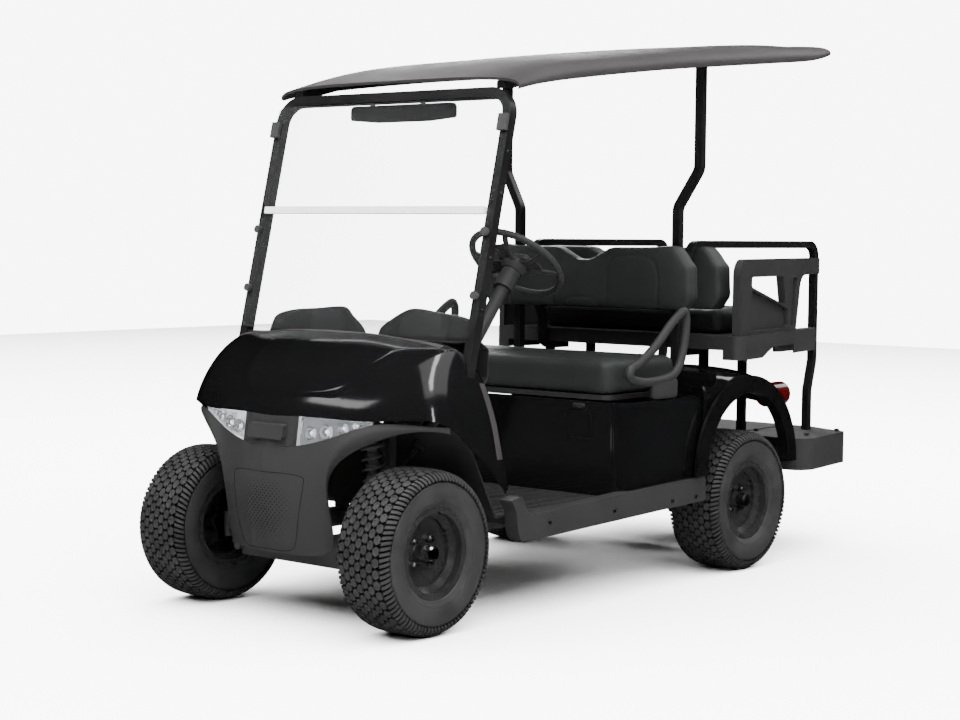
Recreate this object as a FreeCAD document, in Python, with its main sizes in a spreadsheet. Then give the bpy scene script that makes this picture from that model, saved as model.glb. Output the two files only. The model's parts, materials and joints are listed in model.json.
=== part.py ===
import FreeCAD, Part
import math
import os
import Sketcher

Vector = FreeCAD.Vector

# Golf cart with front and rear seats, a hard roof, a fold-down windshield and a rear step.
# Millimetres, +X to the left-hand (driver's) side, the front looks along -Y, +Z up,
# and the wheels stand on z = 0.  Every station along Y is measured from the middle of
# the wheelbase; each sub-part's Placement then moves it so that the origin lies under
# the middle of the whole vehicle.

os.makedirs("parts", exist_ok=True)
doc = FreeCAD.newDocument("golf_cart")
sizes = doc.addObject("Spreadsheet::Sheet", "sizes")

DRIVING = {
    # whole vehicle
    "tail_half_width": 578,
    # running gear
    "wheelbase": 1670,
    "front_track": 894,
    "rear_track": 990,
    "tyre_radius": 254,
    "tyre_width": 203,
    "bead_radius": 127,
    "flange_radius": 144,
    "rim_half_width": 84.5,
    "rim_gauge": 4,
    "disc_inset": 34,
    "lug_circle": 50.8,
    "lug_nut_radius": 10,
    "stub_radius": 15,
    "running_gap": 0.05,
    "seat_gap": 0.3,
    "hub_radius": 31,
    "hub_reach": 62,
    "kingpin_half_track": 372,
    "kingpin_sleeve_radius": 17,
    "kingpin_sleeve_height": 84,
    "steer_arm": 90,
    "steer_arm_inset": 37,
    "rack_level": 188,
    "axle_tube_radius": 32,
    "drum_radius": 88,
    "drum_width": 62,
    "shock_radius": 24,
    "shock_foot_half_track": 288,
    "shock_head_half_track": 268,
    "shock_head_level": 603,
    # chassis
    "rail_half_spacing": 215,
    "rail_width": 35,
    "rail_height": 62,
    "rail_base": 226,
    "rail_front": -930,
    "rail_rear": 1236,
    "floor_level": 331,
    "floor_half_width": 506,
    "floor_gauge": 6,
    "battery_length": 620,
    "battery_width": 275,
    "battery_height": 300,
    # body shell
    "shell_gauge": 4,
    "cowl_half_width": 556,
    "cowl_nose": -1008,
    "cowl_nose_level": 648,
    "cowl_ridge": -742,
    "cowl_ridge_level": 903,
    "lamp_bar_drop": 92,
    "fascia_floor": 222,
    "fascia_half_width": 212,
    "rocker_half_width": "=tail_half_width - 6",
    "rocker_gauge": 50,
    "pod_front": 92,
    "pod_rear": 644.2,
    "pod_half_width": "=tail_half_width - 22",
    "pod_top": 650,
    "pod_corner": 58,
    "tail_front": 548,
    "tail_bulkhead": 644.5,
    "tail_end": 1256,
    "tail_deck_level": 752,
    "arch_radius": 288,
    "arch_station": "=wheelbase / 2 - 13",
    "flare_radius": 336,
    "arch_level": 375,
    # frame above the body
    "strut_half_track": 502,
    "strut_size": 32,
    "strut_lean": 13.4,
    "strut_foot_level": 690,
    "strut_top_level": 1672,
    "strut_corner": 78,
    "rear_strut_size": 30,
    "rear_strut_half_track": 365,
    "rear_strut_head_half_track": 446,
    "rear_strut_station": 671,
    "rear_strut_knee": 1314,
    "rear_strut_shoulder": 1451,
    "pane_gauge": 5,
    "pane_half_width": 516,
    "fold_level": 1286,
    "pane_foot_level": 894,
    "pane_top_level": 1640,
    "roof_half_width": 566,
    "roof_front": -452,
    "roof_rear": 1384,
    "roof_gauge": 9,
    # seats
    "cushion_half_width": 486,
    "cushion_front": 92,
    "cushion_rear": 530,
    "cushion_base": 664,
    "cushion_height": 118,
    "seat_hinge_station": 528,
    "back_half_width": 488,
    "back_base": 934,
    "back_top": 1180,
    "back_station": 578,
    "back_depth": 74,
    "rear_back_station": 768.8,
    "rail_tube": 28,
    "grab_half_track": 361,
    "grab_front": 754.5,
    "grab_rear": 1645,
    "grab_top": 1196,
    "grab_corner": 62,
    "post_half_track": 360,
    "tray_half_width": 566,
    "tray_front": 772,
    "tray_base": 765,
    "tray_middle_base": 800,
    "tray_top": 852,
    "tray_seat_rear": 1330,
    "tray_end": 1604,
    "tray_end_half_width": 402,
    "arm_top": 1130,
    "arm_width": 30,
    "rear_cushion_height": 88,
    "step_level": 432,
    "step_front": 1262,
    "step_rear": 1742,
    "step_half_width": 566,
    "step_skirt": 112,
    # controls
    "wheel_centre_x": 290,
    "wheel_centre_y": -165,
    "wheel_centre_z": 1118,
    "steering_rake": 40,
    "steering_radius": 160,
    "steering_rim": 12.5,
}
for row, (alias, amount) in enumerate(DRIVING.items(), start=1):
    sizes.set(f"A{row}", alias)
    sizes.set(f"B{row}", str(amount))
    sizes.setAlias(f"B{row}", alias)
doc.recompute()


def size(alias):
    """A driving dimension as it stands in the sheet."""
    return float(getattr(sizes, alias))


HALF_BASE = size("wheelbase") / 2
FRONT_AXLE = -HALF_BASE
REAR_AXLE = HALF_BASE
HUB_LEVEL = size("tyre_radius")
# The vehicle reaches from the front tyres' tread to the rear edge of the step.
FRAME_SHIFT = -(size("step_rear") - HALF_BASE - size("tyre_radius")) / 2
SHIFT_RULE = "-(sizes.step_rear - sizes.wheelbase / 2 - sizes.tyre_radius) / 2"
SIDES = (("left", 1), ("right", -1))
sub_parts = {}


def keep(item, name):
    """Give a finished sub-part its label and its place along the vehicle."""
    item.Label = name
    item.Placement.Base.y = item.Placement.Base.y + FRAME_SHIFT
    sub_parts[name] = item
    return item


def shaped(name, shape):
    """A sub-part whose shape is worked out from the sheet by the lines that call this."""
    item = doc.addObject("Part::Feature", name)
    if shape.ShapeType == "Compound" and len(shape.Solids) == 1:
        shape = shape.Solids[0]
    item.Shape = shape
    return keep(item, name)


def new_body(name):
    """An empty body that stands at its station in the vehicle."""
    return doc.addObject("PartDesign::Body", name)


def place_body(body, name, x="0", y="0", z="0", turn=0):
    """Set a body's place by expressions of the sheet and keep it."""
    body.Placement = FreeCAD.Placement(Vector(), FreeCAD.Rotation(Vector(0, 0, 1), turn))
    body.setExpression("Placement.Base.x", x)
    body.setExpression("Placement.Base.y", f"{y} + {SHIFT_RULE}")
    body.setExpression("Placement.Base.z", z)
    body.Label = name
    sub_parts[name] = body
    return body


def plane_of(body, role):
    """One of the body's own origin planes."""
    return next(item for item in body.Origin.OriginFeatures if item.Role == role)


def worked(body, text):
    """The present value of an expression of the sheet."""
    result = body.evalExpression(text)
    return float(getattr(result, "Value", result))


def outline(body, name, role, corners, offset=None):
    """A closed sketch whose corners are pairs of sheet expressions, each one constrained."""
    sketch = body.newObject("Sketcher::SketchObject", name)
    sketch.AttachmentSupport = (plane_of(body, role), [""])
    sketch.MapMode = "FlatFace"
    if offset is not None:
        sketch.setExpression("AttachmentOffset.Base.z", offset)
    spots = [(worked(body, u), worked(body, v)) for u, v in corners]
    count = len(spots)
    for index, spot in enumerate(spots):
        ahead = spots[(index + 1) % count]
        sketch.addGeometry(Part.LineSegment(Vector(*spot, 0), Vector(*ahead, 0)))
    for index in range(count):
        sketch.addConstraint(Sketcher.Constraint("Coincident", index, 2, (index + 1) % count, 1))
    for index, (across, up) in enumerate(corners):
        for axis, text, amount in (("DistanceX", across, spots[index][0]),
                                   ("DistanceY", up, spots[index][1])):
            number = sketch.addConstraint(Sketcher.Constraint(axis, -1, 1, index, 1, amount))
            sketch.setExpression(f"Constraints[{number}]", text)
    return sketch


def ring(body, name, role, radius, centre=("0", "0"), offset=None):
    """A circle sketch with its radius and centre bound to the sheet."""
    sketch = body.newObject("Sketcher::SketchObject", name)
    sketch.AttachmentSupport = (plane_of(body, role), [""])
    sketch.MapMode = "FlatFace"
    if offset is not None:
        sketch.setExpression("AttachmentOffset.Base.z", offset)
    across, up = (worked(body, text) for text in centre)
    sketch.addGeometry(Part.Circle(Vector(across, up, 0), Vector(0, 0, 1), worked(body, radius)))
    number = sketch.addConstraint(Sketcher.Constraint("Radius", 0, worked(body, radius)))
    sketch.setExpression(f"Constraints[{number}]", radius)
    for axis, text, amount in (("DistanceX", centre[0], across), ("DistanceY", centre[1], up)):
        number = sketch.addConstraint(Sketcher.Constraint(axis, -1, 1, 0, 3, amount))
        sketch.setExpression(f"Constraints[{number}]", text)
    return sketch


def revolved(body, name, sketch, kind="PartDesign::Revolution"):
    """Turn a sketch all the way round its own horizontal axis, which is the wheel's axle."""
    feature = body.newObject(kind, name)
    feature.Profile = sketch
    feature.ReferenceAxis = (sketch, ["H_Axis"])
    feature.Angle = 360
    return feature


def pad(body, name, sketch, length, symmetric=False, kind="PartDesign::Pad", reverse=False):
    """Pad or pocket a sketch by a sheet expression."""
    feature = body.newObject(kind, name)
    feature.Profile = sketch
    feature.setExpression("Length", length)
    feature.SideType = "Symmetric" if symmetric else "One side"
    feature.Reversed = reverse
    return feature


# Geometry helpers for free-form sub-parts.


def box(low, high):
    """A block between two corners."""
    return Part.makeBox(high[0] - low[0], high[1] - low[1], high[2] - low[2], Vector(*low))


def rod(start, end, radius):
    """A round bar between two points."""
    axis = Vector(*end) - Vector(*start)
    return Part.makeCylinder(radius, axis.Length, Vector(*start), axis)


def fused(solids):
    """One solid, or one compound of separate solids, out of many."""
    solids = list(solids)
    if len(solids) == 1:
        return solids[0]
    return solids[0].multiFuse(solids[1:]).removeSplitter()


def mirrored(shape):
    """The same shape on the other side of the vehicle's centre plane."""
    return shape.mirror(Vector(), Vector(1, 0, 0))


def bent_path(points, radius):
    """Straight runs joined by tangent arcs of one radius, as a tube bender makes them."""
    spots = [Vector(*point) for point in points]
    edges = []
    start = spots[0]
    for index in range(1, len(spots) - 1):
        here = spots[index]
        back = (spots[index - 1] - here).normalize()
        ahead = (spots[index + 1] - here).normalize()
        half = back.getAngle(ahead) / 2
        reach = radius / math.tan(half)
        first = here + back * reach
        last = here + ahead * reach
        bisector = (back + ahead).normalize()
        middle = here + bisector * (radius / math.sin(half) - radius)
        edges.append(Part.LineSegment(start, first).toShape())
        edges.append(Part.Arc(first, middle, last).toShape())
        start = last
    edges.append(Part.LineSegment(start, spots[-1]).toShape())
    return Part.Wire(edges)


def tube(points, bend, across, square=True, side=Vector(1, 0, 0)):
    """A bar of square or round section swept along a bent path."""
    path = bent_path(points, bend)
    start = Vector(*points[0])
    along = (Vector(*points[1]) - start).normalize()
    if square:
        width = side.sub(along * side.dot(along)).normalize()
        depth = along.cross(width)
        half = across / 2
        corners = [start + width * (half * a) + depth * (half * b)
                   for a, b in ((-1, -1), (1, -1), (1, 1), (-1, 1), (-1, -1))]
        section = Part.makePolygon(corners)
    else:
        section = Part.Wire(Part.Circle(start, along, across / 2).toShape())
    return path.makePipeShell([section], True, False)


def prism(points, depth, axis):
    """A straight prism: a closed outline of 3-D points pushed along an axis."""
    wire = Part.makePolygon([Vector(*point) for point in points] + [Vector(*points[0])])
    return Part.Face(wire).extrude(Vector(*axis) * depth)


def rounded_prism(points, radii, depth, axis):
    """A prism whose outline has its corners rounded, each by its own radius."""
    spots = [Vector(*point) for point in points]
    count = len(spots)
    edges = []
    ends = []
    for index, here in enumerate(spots):
        radius = radii[index] if isinstance(radii, (list, tuple)) else radii
        back = (spots[index - 1] - here).normalize()
        ahead = (spots[(index + 1) % count] - here).normalize()
        half = back.getAngle(ahead) / 2
        if radius <= 0:
            ends.append((here, here, None))
            continue
        reach = radius / math.tan(half)
        bisector = (back + ahead).normalize()
        middle = here + bisector * (radius / math.sin(half) - radius)
        ends.append((here + back * reach, here + ahead * reach, middle))
    for index, (first, last, middle) in enumerate(ends):
        if middle is not None:
            edges.append(Part.Arc(first, middle, last).toShape())
        ahead_first = ends[(index + 1) % count][0]
        if last.distanceToPoint(ahead_first) > 1e-6:
            edges.append(Part.LineSegment(last, ahead_first).toShape())
    return Part.Face(Part.Wire(edges)).extrude(Vector(*axis) * depth)


def smooth_prism(points, depth):
    """A prism along X whose outline is one closed smooth curve through the given points."""
    curve = Part.BSplineCurve()
    curve.interpolate(Points=[Vector(*point) for point in points], PeriodicFlag=True)
    return Part.Face(Part.Wire([curve.toShape()])).extrude(Vector(depth, 0, 0))


def offset_rows(rows, gauge):
    """The grid moved inwards by the wall's thickness along its own normals."""
    height = len(rows)
    width = len(rows[0])
    moved = []
    for i in range(height):
        line = []
        for j in range(width):
            across = rows[i][min(j + 1, width - 1)] - rows[i][max(j - 1, 0)]
            along = rows[min(i + 1, height - 1)][j] - rows[max(i - 1, 0)][j]
            normal = across.cross(along).normalize()
            line.append(rows[i][j] + normal * gauge)
        moved.append(line)
    return moved


def wall(rows, gauge):
    """A moulded wall: a smooth skin through a grid of points, its offset and the edges between."""
    outer = Part.BSplineSurface()
    outer.interpolate(rows)
    inner = Part.BSplineSurface()
    inner.interpolate(offset_rows(rows, gauge))
    faces = [outer.toShape(), inner.toShape()]
    u_low, u_high, v_low, v_high = outer.bounds()
    a_low, a_high, b_low, b_high = inner.bounds()
    for first, second in ((outer.uIso(u_low), inner.uIso(a_low)),
                          (outer.uIso(u_high), inner.uIso(a_high)),
                          (outer.vIso(v_low), inner.vIso(b_low)),
                          (outer.vIso(v_high), inner.vIso(b_high))):
        faces.append(Part.makeRuledSurface(first.toShape(), second.toShape()))
    shell = Part.Shell(faces)
    shell.sewShape()
    solid = Part.Solid(shell)
    if solid.Volume < 0:
        solid.reverse()
    return solid


def between(low, high, share):
    """Straight interpolation between two numbers."""
    return low + (high - low) * share


def graph(points, at):
    """Read a line graph of (place, amount) points at one place."""
    if at <= points[0][0]:
        return points[0][1]
    for (x_low, low), (x_high, high) in zip(points, points[1:]):
        if at <= x_high:
            return between(low, high, (at - x_low) / (x_high - x_low))
    return points[-1][1]


# Wheels.


def make_tyre(name, x, y, turn):
    """A turf tyre: bead, bulging sidewall, shoulder and slightly crowned tread, revolved."""
    body = new_body("body_" + name)
    half = "sizes.tyre_width / 2"
    side = [
        ("sizes.rim_half_width - sizes.rim_gauge - 2", "sizes.bead_radius + sizes.seat_gap"),
        ("sizes.rim_half_width - sizes.rim_gauge - 1", "sizes.flange_radius + 3"),
        ("sizes.rim_half_width + 8", "sizes.flange_radius + 10"),
        (f"{half} - 1.5", "sizes.flange_radius + 32"),
        (half, "sizes.flange_radius + 52"),
        (f"{half} - 3", "sizes.tyre_radius - 28"),
        (f"{half} - 12", "sizes.tyre_radius - 11"),
        (f"{half} - 46", "sizes.tyre_radius - 2"),
    ]
    corners = side + [("0", "sizes.tyre_radius")]
    corners += [(f"-({u})", v) for u, v in reversed(side)]
    sketch = outline(body, "tread_" + name, "XZ_Plane", corners)
    revolved(body, "ring_" + name, sketch)
    return place_body(body, name, x, y, "sizes.tyre_radius", turn)


def make_wheel(name, x, y, turn, hub_reach):
    """A pressed steel wheel: stepped rim, deep disc, lug nuts, hub and cap on a bored boss."""
    body = new_body("body_" + name)
    edge = "sizes.rim_half_width"
    seat = "sizes.bead_radius"
    wall_in = "sizes.rim_gauge"
    rim = [
        (edge, "sizes.flange_radius"),
        (f"{edge} - {wall_in}", "sizes.flange_radius"),
        (f"{edge} - {wall_in} - 1.7", seat),
        (f"{edge} - 26", seat),
        (f"{edge} - 40", f"{seat} - 18"),
        (f"-{edge} + 34", f"{seat} - 18"),
        (f"-{edge} + 22", seat),
        (f"-{edge} + {wall_in} + 1.7", seat),
        (f"-{edge} + {wall_in}", "sizes.flange_radius"),
        (f"-{edge}", "sizes.flange_radius"),
        (f"-{edge} + 1", f"{seat} - {wall_in}"),
        (f"-{edge} + 22", f"{seat} - {wall_in}"),
        (f"-{edge} + 34", f"{seat} - 18 - {wall_in}"),
        (f"{edge} - 40", f"{seat} - 18 - {wall_in}"),
        (f"{edge} - 26", f"{seat} - {wall_in}"),
        (f"{edge} - 1", f"{seat} - {wall_in}"),
    ]
    revolved(body, "rim_" + name, outline(body, "rim_line_" + name, "XZ_Plane", rim))
    face = f"({edge} - sizes.disc_inset)"
    disc = [
        (f"{face} - 18", f"{seat} - 17.5 - {wall_in}"),
        (f"{face} - 18 - {wall_in}", f"{seat} - 17.5 - {wall_in}"),
        (f"{face} - 30 - {wall_in}", "sizes.lug_circle + 22"),
        (f"{face} - 30 - {wall_in}", "sizes.hub_radius"),
        (f"{face} - 78", "sizes.hub_radius"),
        (f"{face} - 78", "sizes.stub_radius + sizes.running_gap"),
        (f"{face} - 26", "sizes.stub_radius + sizes.running_gap"),
        (f"{face} - 26", "0"),
        (f"{face} - 30 + {hub_reach}", "0"),
        (f"{face} - 30 + {hub_reach}", "18"),
        (f"{face} - 32 + {hub_reach}", "21"),
        (f"{face} - 30 + {hub_reach} * 0.55", "21"),
        (f"{face} - 30 + {hub_reach} * 0.5", "27"),
        (f"{face} - 24", "sizes.hub_radius"),
        (f"{face} - 30", "sizes.hub_radius + 2"),
        (f"{face} - 30", "sizes.lug_circle + 20"),
    ]
    revolved(body, "disc_" + name, outline(body, "disc_line_" + name, "XZ_Plane", disc))
    nut = ring(body, "nut_line_" + name, "YZ_Plane", "sizes.lug_nut_radius",
               ("sizes.lug_circle * 0.7071", "sizes.lug_circle * 0.7071"), f"{face} - 31")
    pad(body, "nut_" + name, nut, "15")
    doc.recompute()
    pattern = body.newObject("PartDesign::PolarPattern", "nuts_" + name)
    pattern.Originals = [doc.getObject("nut_" + name)]
    pattern.Axis = (nut, ["N_Axis"])
    pattern.Axis = (next(o for o in body.Origin.OriginFeatures if o.Role == "X_Axis"), [""])
    pattern.Angle = 360
    pattern.Occurrences = 4
    body.Tip = pattern
    return place_body(body, name, x, y, "sizes.tyre_radius", turn)


FRONT_X = "sizes.front_track / 2"
REAR_X = "sizes.rear_track / 2"
for side_name, sign in SIDES:
    turn = 0 if sign > 0 else 180
    for place, x_rule, y_rule, reach in (
            ("front", FRONT_X, "-sizes.wheelbase / 2", "sizes.hub_reach"),
            ("rear", REAR_X, "sizes.wheelbase / 2", "(sizes.hub_reach - 26)")):
        make_tyre(f"tyre_{place}_{side_name}", f"{sign} * {x_rule}", y_rule, turn)
        make_wheel(f"wheel_{place}_{side_name}", f"{sign} * {x_rule}", y_rule, turn, reach)

# Front suspension and steering.

KING_X = size("kingpin_half_track")
SLEEVE_HALF = size("kingpin_sleeve_height") / 2
STUB_FACE = size("front_track") / 2 + size("rim_half_width") - size("disc_inset") - 78
RACK_Y = FRONT_AXLE + size("steer_arm")
BALL_X = KING_X - size("steer_arm_inset")
RACK_Z = size("rack_level")
ARM_PLATE = 12
JOINT_GAP = 3


def make_knuckle(sign):
    """A forked knuckle round the kingpin sleeve, with its stub axle and steering arm."""
    gap = size("seat_gap")
    level = HUB_LEVEL
    y = FRONT_AXLE
    web_x = KING_X + size("kingpin_sleeve_radius") + 5
    plate = ARM_PLATE
    pieces = []
    for way in (1, -1):
        low = level + way * (SLEEVE_HALF + gap) - (plate if way < 0 else 0)
        pieces.append(rod((KING_X, y, low), (KING_X, y, low + plate), 20))
        pieces.append(box((KING_X, y - 20, low), (web_x + plate, y + 20, low + plate)))
    top = level + SLEEVE_HALF + gap + plate
    bottom = level - SLEEVE_HALF - gap - plate
    pieces.append(box((web_x, y - 20, bottom), (web_x + plate, y + 20, top)))
    stub_end = STUB_FACE + 50
    pieces.append(rod((web_x, y, level), (stub_end, y, level), size("stub_radius")))
    pieces.append(rod((web_x + plate, y, level), (STUB_FACE - 1, y, level), 26))
    arm = [(KING_X - 16, y + 8), (KING_X + 12, y + 8), (BALL_X + 10, RACK_Y),
           (BALL_X - 12, RACK_Y)]
    pieces.append(prism([(x, across, bottom) for x, across in arm], plate, (0, 0, 1)))
    pieces.append(rod((BALL_X, RACK_Y, bottom), (BALL_X, RACK_Y, bottom + plate), 13))
    shape = fused(pieces)
    return shape if sign > 0 else mirrored(shape)


for side_name, sign in SIDES:
    shaped(f"knuckle_{side_name}", make_knuckle(sign))


WISHBONE_X = 262
SPRING_PAD = 234
# The rear arm of each wishbone runs nearly straight out, clear of the turned steering arm.
WISHBONE_ENDS = (-58, 14)


def make_front_axle():
    """Cross-member under the rails with two wishbones and the sleeves that the knuckles turn on."""
    y = FRONT_AXLE
    high = size("rail_base") - size("seat_gap")
    low = high - 56
    pivot = low + 30
    pieces = [box((-WISHBONE_X, y - 45, low), (WISHBONE_X, y + 45, high))]
    for sign in (1, -1):
        sleeve_low = HUB_LEVEL - SLEEVE_HALF
        pieces.append(rod((sign * KING_X, y, sleeve_low),
                          (sign * KING_X, y, sleeve_low + 2 * SLEEVE_HALF),
                          size("kingpin_sleeve_radius")))
        for lean in WISHBONE_ENDS:
            pieces.append(rod((sign * WISHBONE_X, y + lean, pivot),
                              (sign * (KING_X - 6), y, HUB_LEVEL - 16), 9))
        pieces.append(rod((sign * WISHBONE_X, y - 70, pivot), (sign * WISHBONE_X, y + 70, pivot),
                          13))
        plan = [(WISHBONE_X, -40), (WISHBONE_X + 52, -40), (WISHBONE_X + 52, 6),
                (WISHBONE_X + 36, 25), (WISHBONE_X, 25)]
        pieces.append(prism([(sign * x, y + along, pivot + 2) for x, along in plan],
                            SPRING_PAD - pivot - 2, (0, 0, 1)))
    return fused(pieces)


shaped("front_axle", make_front_axle())


def make_shocks():
    """Two coil-over units: a damper body inside a coil's wavy outline."""
    y = FRONT_AXLE
    solids = []
    foot = Vector(size("shock_foot_half_track"), y, SPRING_PAD + 1)
    head = Vector(size("shock_head_half_track"), y, size("shock_head_level"))
    length = (head - foot).Length
    radius = size("shock_radius")
    turns = 7
    coil_low = length * 0.30
    coil_high = length * 0.94
    pitch = (coil_high - coil_low) / turns
    points = [(0, 0), (13, 0), (13, coil_low - 8), (radius + 3, coil_low - 8),
              (radius + 3, coil_low)]
    for turn_number in range(turns):
        base = coil_low + pitch * turn_number
        points += [(radius - 8, base + pitch * 0.1), (radius, base + pitch * 0.35),
                   (radius, base + pitch * 0.65), (radius - 8, base + pitch * 0.9)]
    points += [(radius + 3, coil_high), (radius + 3, coil_high + 7), (12, coil_high + 7),
               (12, length), (0, length)]
    spots = [Vector(r, 0, h) for r, h in points]
    face = Part.Face(Part.makePolygon(spots + [spots[0]]))
    unit = face.revolve(Vector(), Vector(0, 0, 1), 360)
    unit.Placement = FreeCAD.Placement(foot, FreeCAD.Rotation(Vector(0, 0, 1), head - foot))
    for shape in (unit, mirrored(unit)):
        solids.append(shape)
    return Part.makeCompound(solids)


shaped("front_shocks", make_shocks())


def make_rack():
    """Steering rack bar with both tie rods, ending just under the knuckles' arms."""
    arm_low = HUB_LEVEL - SLEEVE_HALF - size("seat_gap") - ARM_PLATE
    end_top = arm_low - JOINT_GAP
    pieces = [rod((-190, RACK_Y, RACK_Z), (190, RACK_Y, RACK_Z), 13)]
    for sign in (1, -1):
        end = (sign * BALL_X, RACK_Y, end_top - 12)
        pieces.append(rod((sign * 180, RACK_Y, RACK_Z), end, 7))
        pieces.append(rod((end[0], end[1], end_top - 24), (end[0], end[1], end_top), 12))
    return fused(pieces)


shaped("steering_rack", make_rack())


def make_rack_housing():
    """The tube that the rack slides in, with its pinion box and two feet on the cross-member."""
    outer = rod((-130, RACK_Y, RACK_Z), (130, RACK_Y, RACK_Z), 24)
    pinion = box((60, RACK_Y - 30, RACK_Z - 24), (124, RACK_Y + 34, RACK_Z + 50))
    feet = [box((x - 16, FRONT_AXLE + 45, RACK_Z + 4), (x + 16, RACK_Y, RACK_Z + 24))
            for x in (-110, 110)]
    solid = fused([outer, pinion] + feet)
    return solid.cut(rod((-200, RACK_Y, RACK_Z), (200, RACK_Y, RACK_Z), 13 + 1))


shaped("rack_housing", make_rack_housing())

# Rear axle.


def make_rear_axle():
    """Axle tube with a two-lobed gear case, brake drums and stub ends for the wheels."""
    y = REAR_AXLE
    z = HUB_LEVEL
    half = size("rear_track") / 2
    inner_face = half + size("rim_half_width") - size("disc_inset") - 78
    drum = size("drum_width")
    pieces = [rod((-inner_face + drum, y, z), (inner_face - drum, y, z),
                  size("axle_tube_radius"))]
    for sign in (1, -1):
        face = sign * (inner_face - 1)
        pieces.append(rod((face, y, z), (face - sign * drum, y, z), size("drum_radius")))
        pieces.append(rod((face, y, z), (sign * (inner_face + 50), y, z),
                          size("stub_radius")))
    pieces.append(rod((-70, y, z), (50, y, z), 92))
    pieces.append(rod((-60, y - 128, z + 30), (50, y - 128, z + 30), 58))
    return fused(pieces)


shaped("rear_axle", make_rear_axle())
shaped("drive_motor", rod((50.3, REAR_AXLE - 128, HUB_LEVEL + 30),
                          (280, REAR_AXLE - 128, HUB_LEVEL + 30), 82))


LEAF_X = size("rear_track") / 2 - 150
LEAF_REACH = 330
LEAF_BOW = 46
LEAF_GAUGE = 9
LEAF_TOP = (HUB_LEVEL - size("axle_tube_radius") - size("seat_gap")) + LEAF_BOW


def make_leaf_springs():
    """A pair of leaf springs: three stepped leaves, seen from the side as one bowed outline."""
    top = LEAF_TOP - LEAF_BOW
    stations = [-LEAF_REACH, -220, -130, 0, 130, 220, LEAF_REACH]
    upper = []
    lower = []
    for y in stations:
        level = top + LEAF_BOW * (y / LEAF_REACH) ** 2
        upper.append((y, level))
    for index, leaves in enumerate((1, 2, 3, 3, 2, 1)):
        for y, level in upper[index:index + 2]:
            lower.append((y, level - LEAF_GAUGE * leaves))
    lower = [point for index, point in enumerate(lower) if index != 6]
    outline_points = upper + lower[::-1]
    solids = []
    for sign in (1, -1):
        points = [(sign * LEAF_X - 25, REAR_AXLE + y, z) for y, z in outline_points]
        solids.append(prism(points, 50, (1, 0, 0)))
    return Part.makeCompound(solids)


shaped("leaf_springs", make_leaf_springs())

# Chassis.


TRAY_POSTS = (862, 1128)
SILL_ARMS = (-400, 50, 430)
SILL_ARM_HEIGHT = 20
ROCKER_SKIN = 5
LEAN = math.tan(math.radians(size("strut_lean")))


def strut_face(z):
    """Station of the front struts' front face at a height."""
    return -572 + (z - 1220) * LEAN


STRUT_FOOT = strut_face(size("strut_foot_level")) + size("strut_size") / 2


def make_frame():
    """Two rails that kick up over the rear axle, cross-bars, and a brace for the front struts."""
    width = size("rail_width")
    low = size("rail_base")
    high = low + size("rail_height")
    front = size("rail_front")
    rear = size("rail_rear")
    kick = 150
    spine = [(front, low), (430, low), (560, low + kick), (1090, low + kick),
             (1180, low + 90), (rear, low + 90)]
    back = [(rear, high + 80), (1190, high + 80), (1100, high + kick - 8), (550, high + kick),
            (410, high), (front, high)]
    pieces = []
    for sign in (1, -1):
        x = sign * size("rail_half_spacing")
        points = [(x - width / 2, y, z) for y, z in spine + back]
        pieces.append(prism(points, width, (1, 0, 0)))
    inner = size("rail_half_spacing") - width / 2
    for y, base in ((front + 4, low + 8), (-500, low + 8), (80, low + 8), (400, low + 8)):
        pieces.append(box((-inner - 1, y, base), (inner + 1, y + 36, base + 40)))
    reach = size("rocker_half_width") - ROCKER_SKIN - size("seat_gap")
    for y in SILL_ARMS:
        pieces.append(box((-reach, y, high - 1), (reach, y + 30, high + SILL_ARM_HEIGHT)))
    eye = LEAF_TOP + size("seat_gap")
    pieces.append(box((-LEAF_X - 20, 1140, eye), (LEAF_X + 20, 1180, eye + 72)))
    for sign in (1, -1):
        low_x, high_x = sorted((sign * (LEAF_X - 20), sign * (LEAF_X + 20)))
        pieces.append(box((low_x, SILL_ARMS[-1] + 10, eye), (high_x, REAR_AXLE - LEAF_REACH + 14,
                                                            high + 12)))
    post = size("rear_strut_half_track") + size("rear_strut_size") / 2 + 2
    for y in (size("rear_strut_station"),) + TRAY_POSTS:
        pieces.append(box((-post, y - 16, high + kick - 38), (post, y + 16, high + kick)))
    brace = STRUT_FOOT - 15
    foot_level = size("strut_foot_level") - size("seat_gap")
    reach = size("strut_half_track") + 20
    pieces.append(box((-reach, brace - 15, foot_level - 30), (reach, brace + 15, foot_level)))
    head = size("shock_head_level") + 1
    axle = -size("wheelbase") / 2
    for sign in (1, -1):
        x = sign * size("rail_half_spacing")
        pieces.append(box((x - 15, brace - 15, high - 1), (x + 15, brace + 15, foot_level - 1)))
        low_x, high_x = sorted((sign * 200, sign * (size("shock_head_half_track") + 22)))
        pieces.append(box((low_x, axle - 22, head), (high_x, brace, head + 14)))
    return fused(pieces)


shaped("frame", make_frame())


def make_floor():
    """Floor pan with a raised toe board in front and a low rib pressed along each edge."""
    gauge = size("floor_gauge")
    z = size("floor_level")
    half = size("floor_half_width")
    rear = size("pod_front") - size("seat_gap")
    line = [(-668, z + 282), (-640, z + 220), (-520, z), (rear, z), (rear, z - gauge),
            (-520 - gauge * 0.7, z - gauge), (-646, z + 220), (-674, z + 282)]
    pan = prism([(-half, y, level) for y, level in line], 2 * half, (1, 0, 0))
    ribs = []
    for number in range(15):
        x = -half + 60 + number * (2 * half - 120) / 14
        ribs.append(box((x - 9, -500, z - 1), (x + 9, rear - 24, z + 3)))
    legs = [box((x - 20, y, size("rail_base") + size("rail_height") + size("seat_gap")),
                (x + 20, y + 30, z - gauge + 1))
            for x in (-size("rail_half_spacing"), size("rail_half_spacing"))
            for y in (-480, 0)]
    return fused([pan] + ribs + legs)


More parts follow.
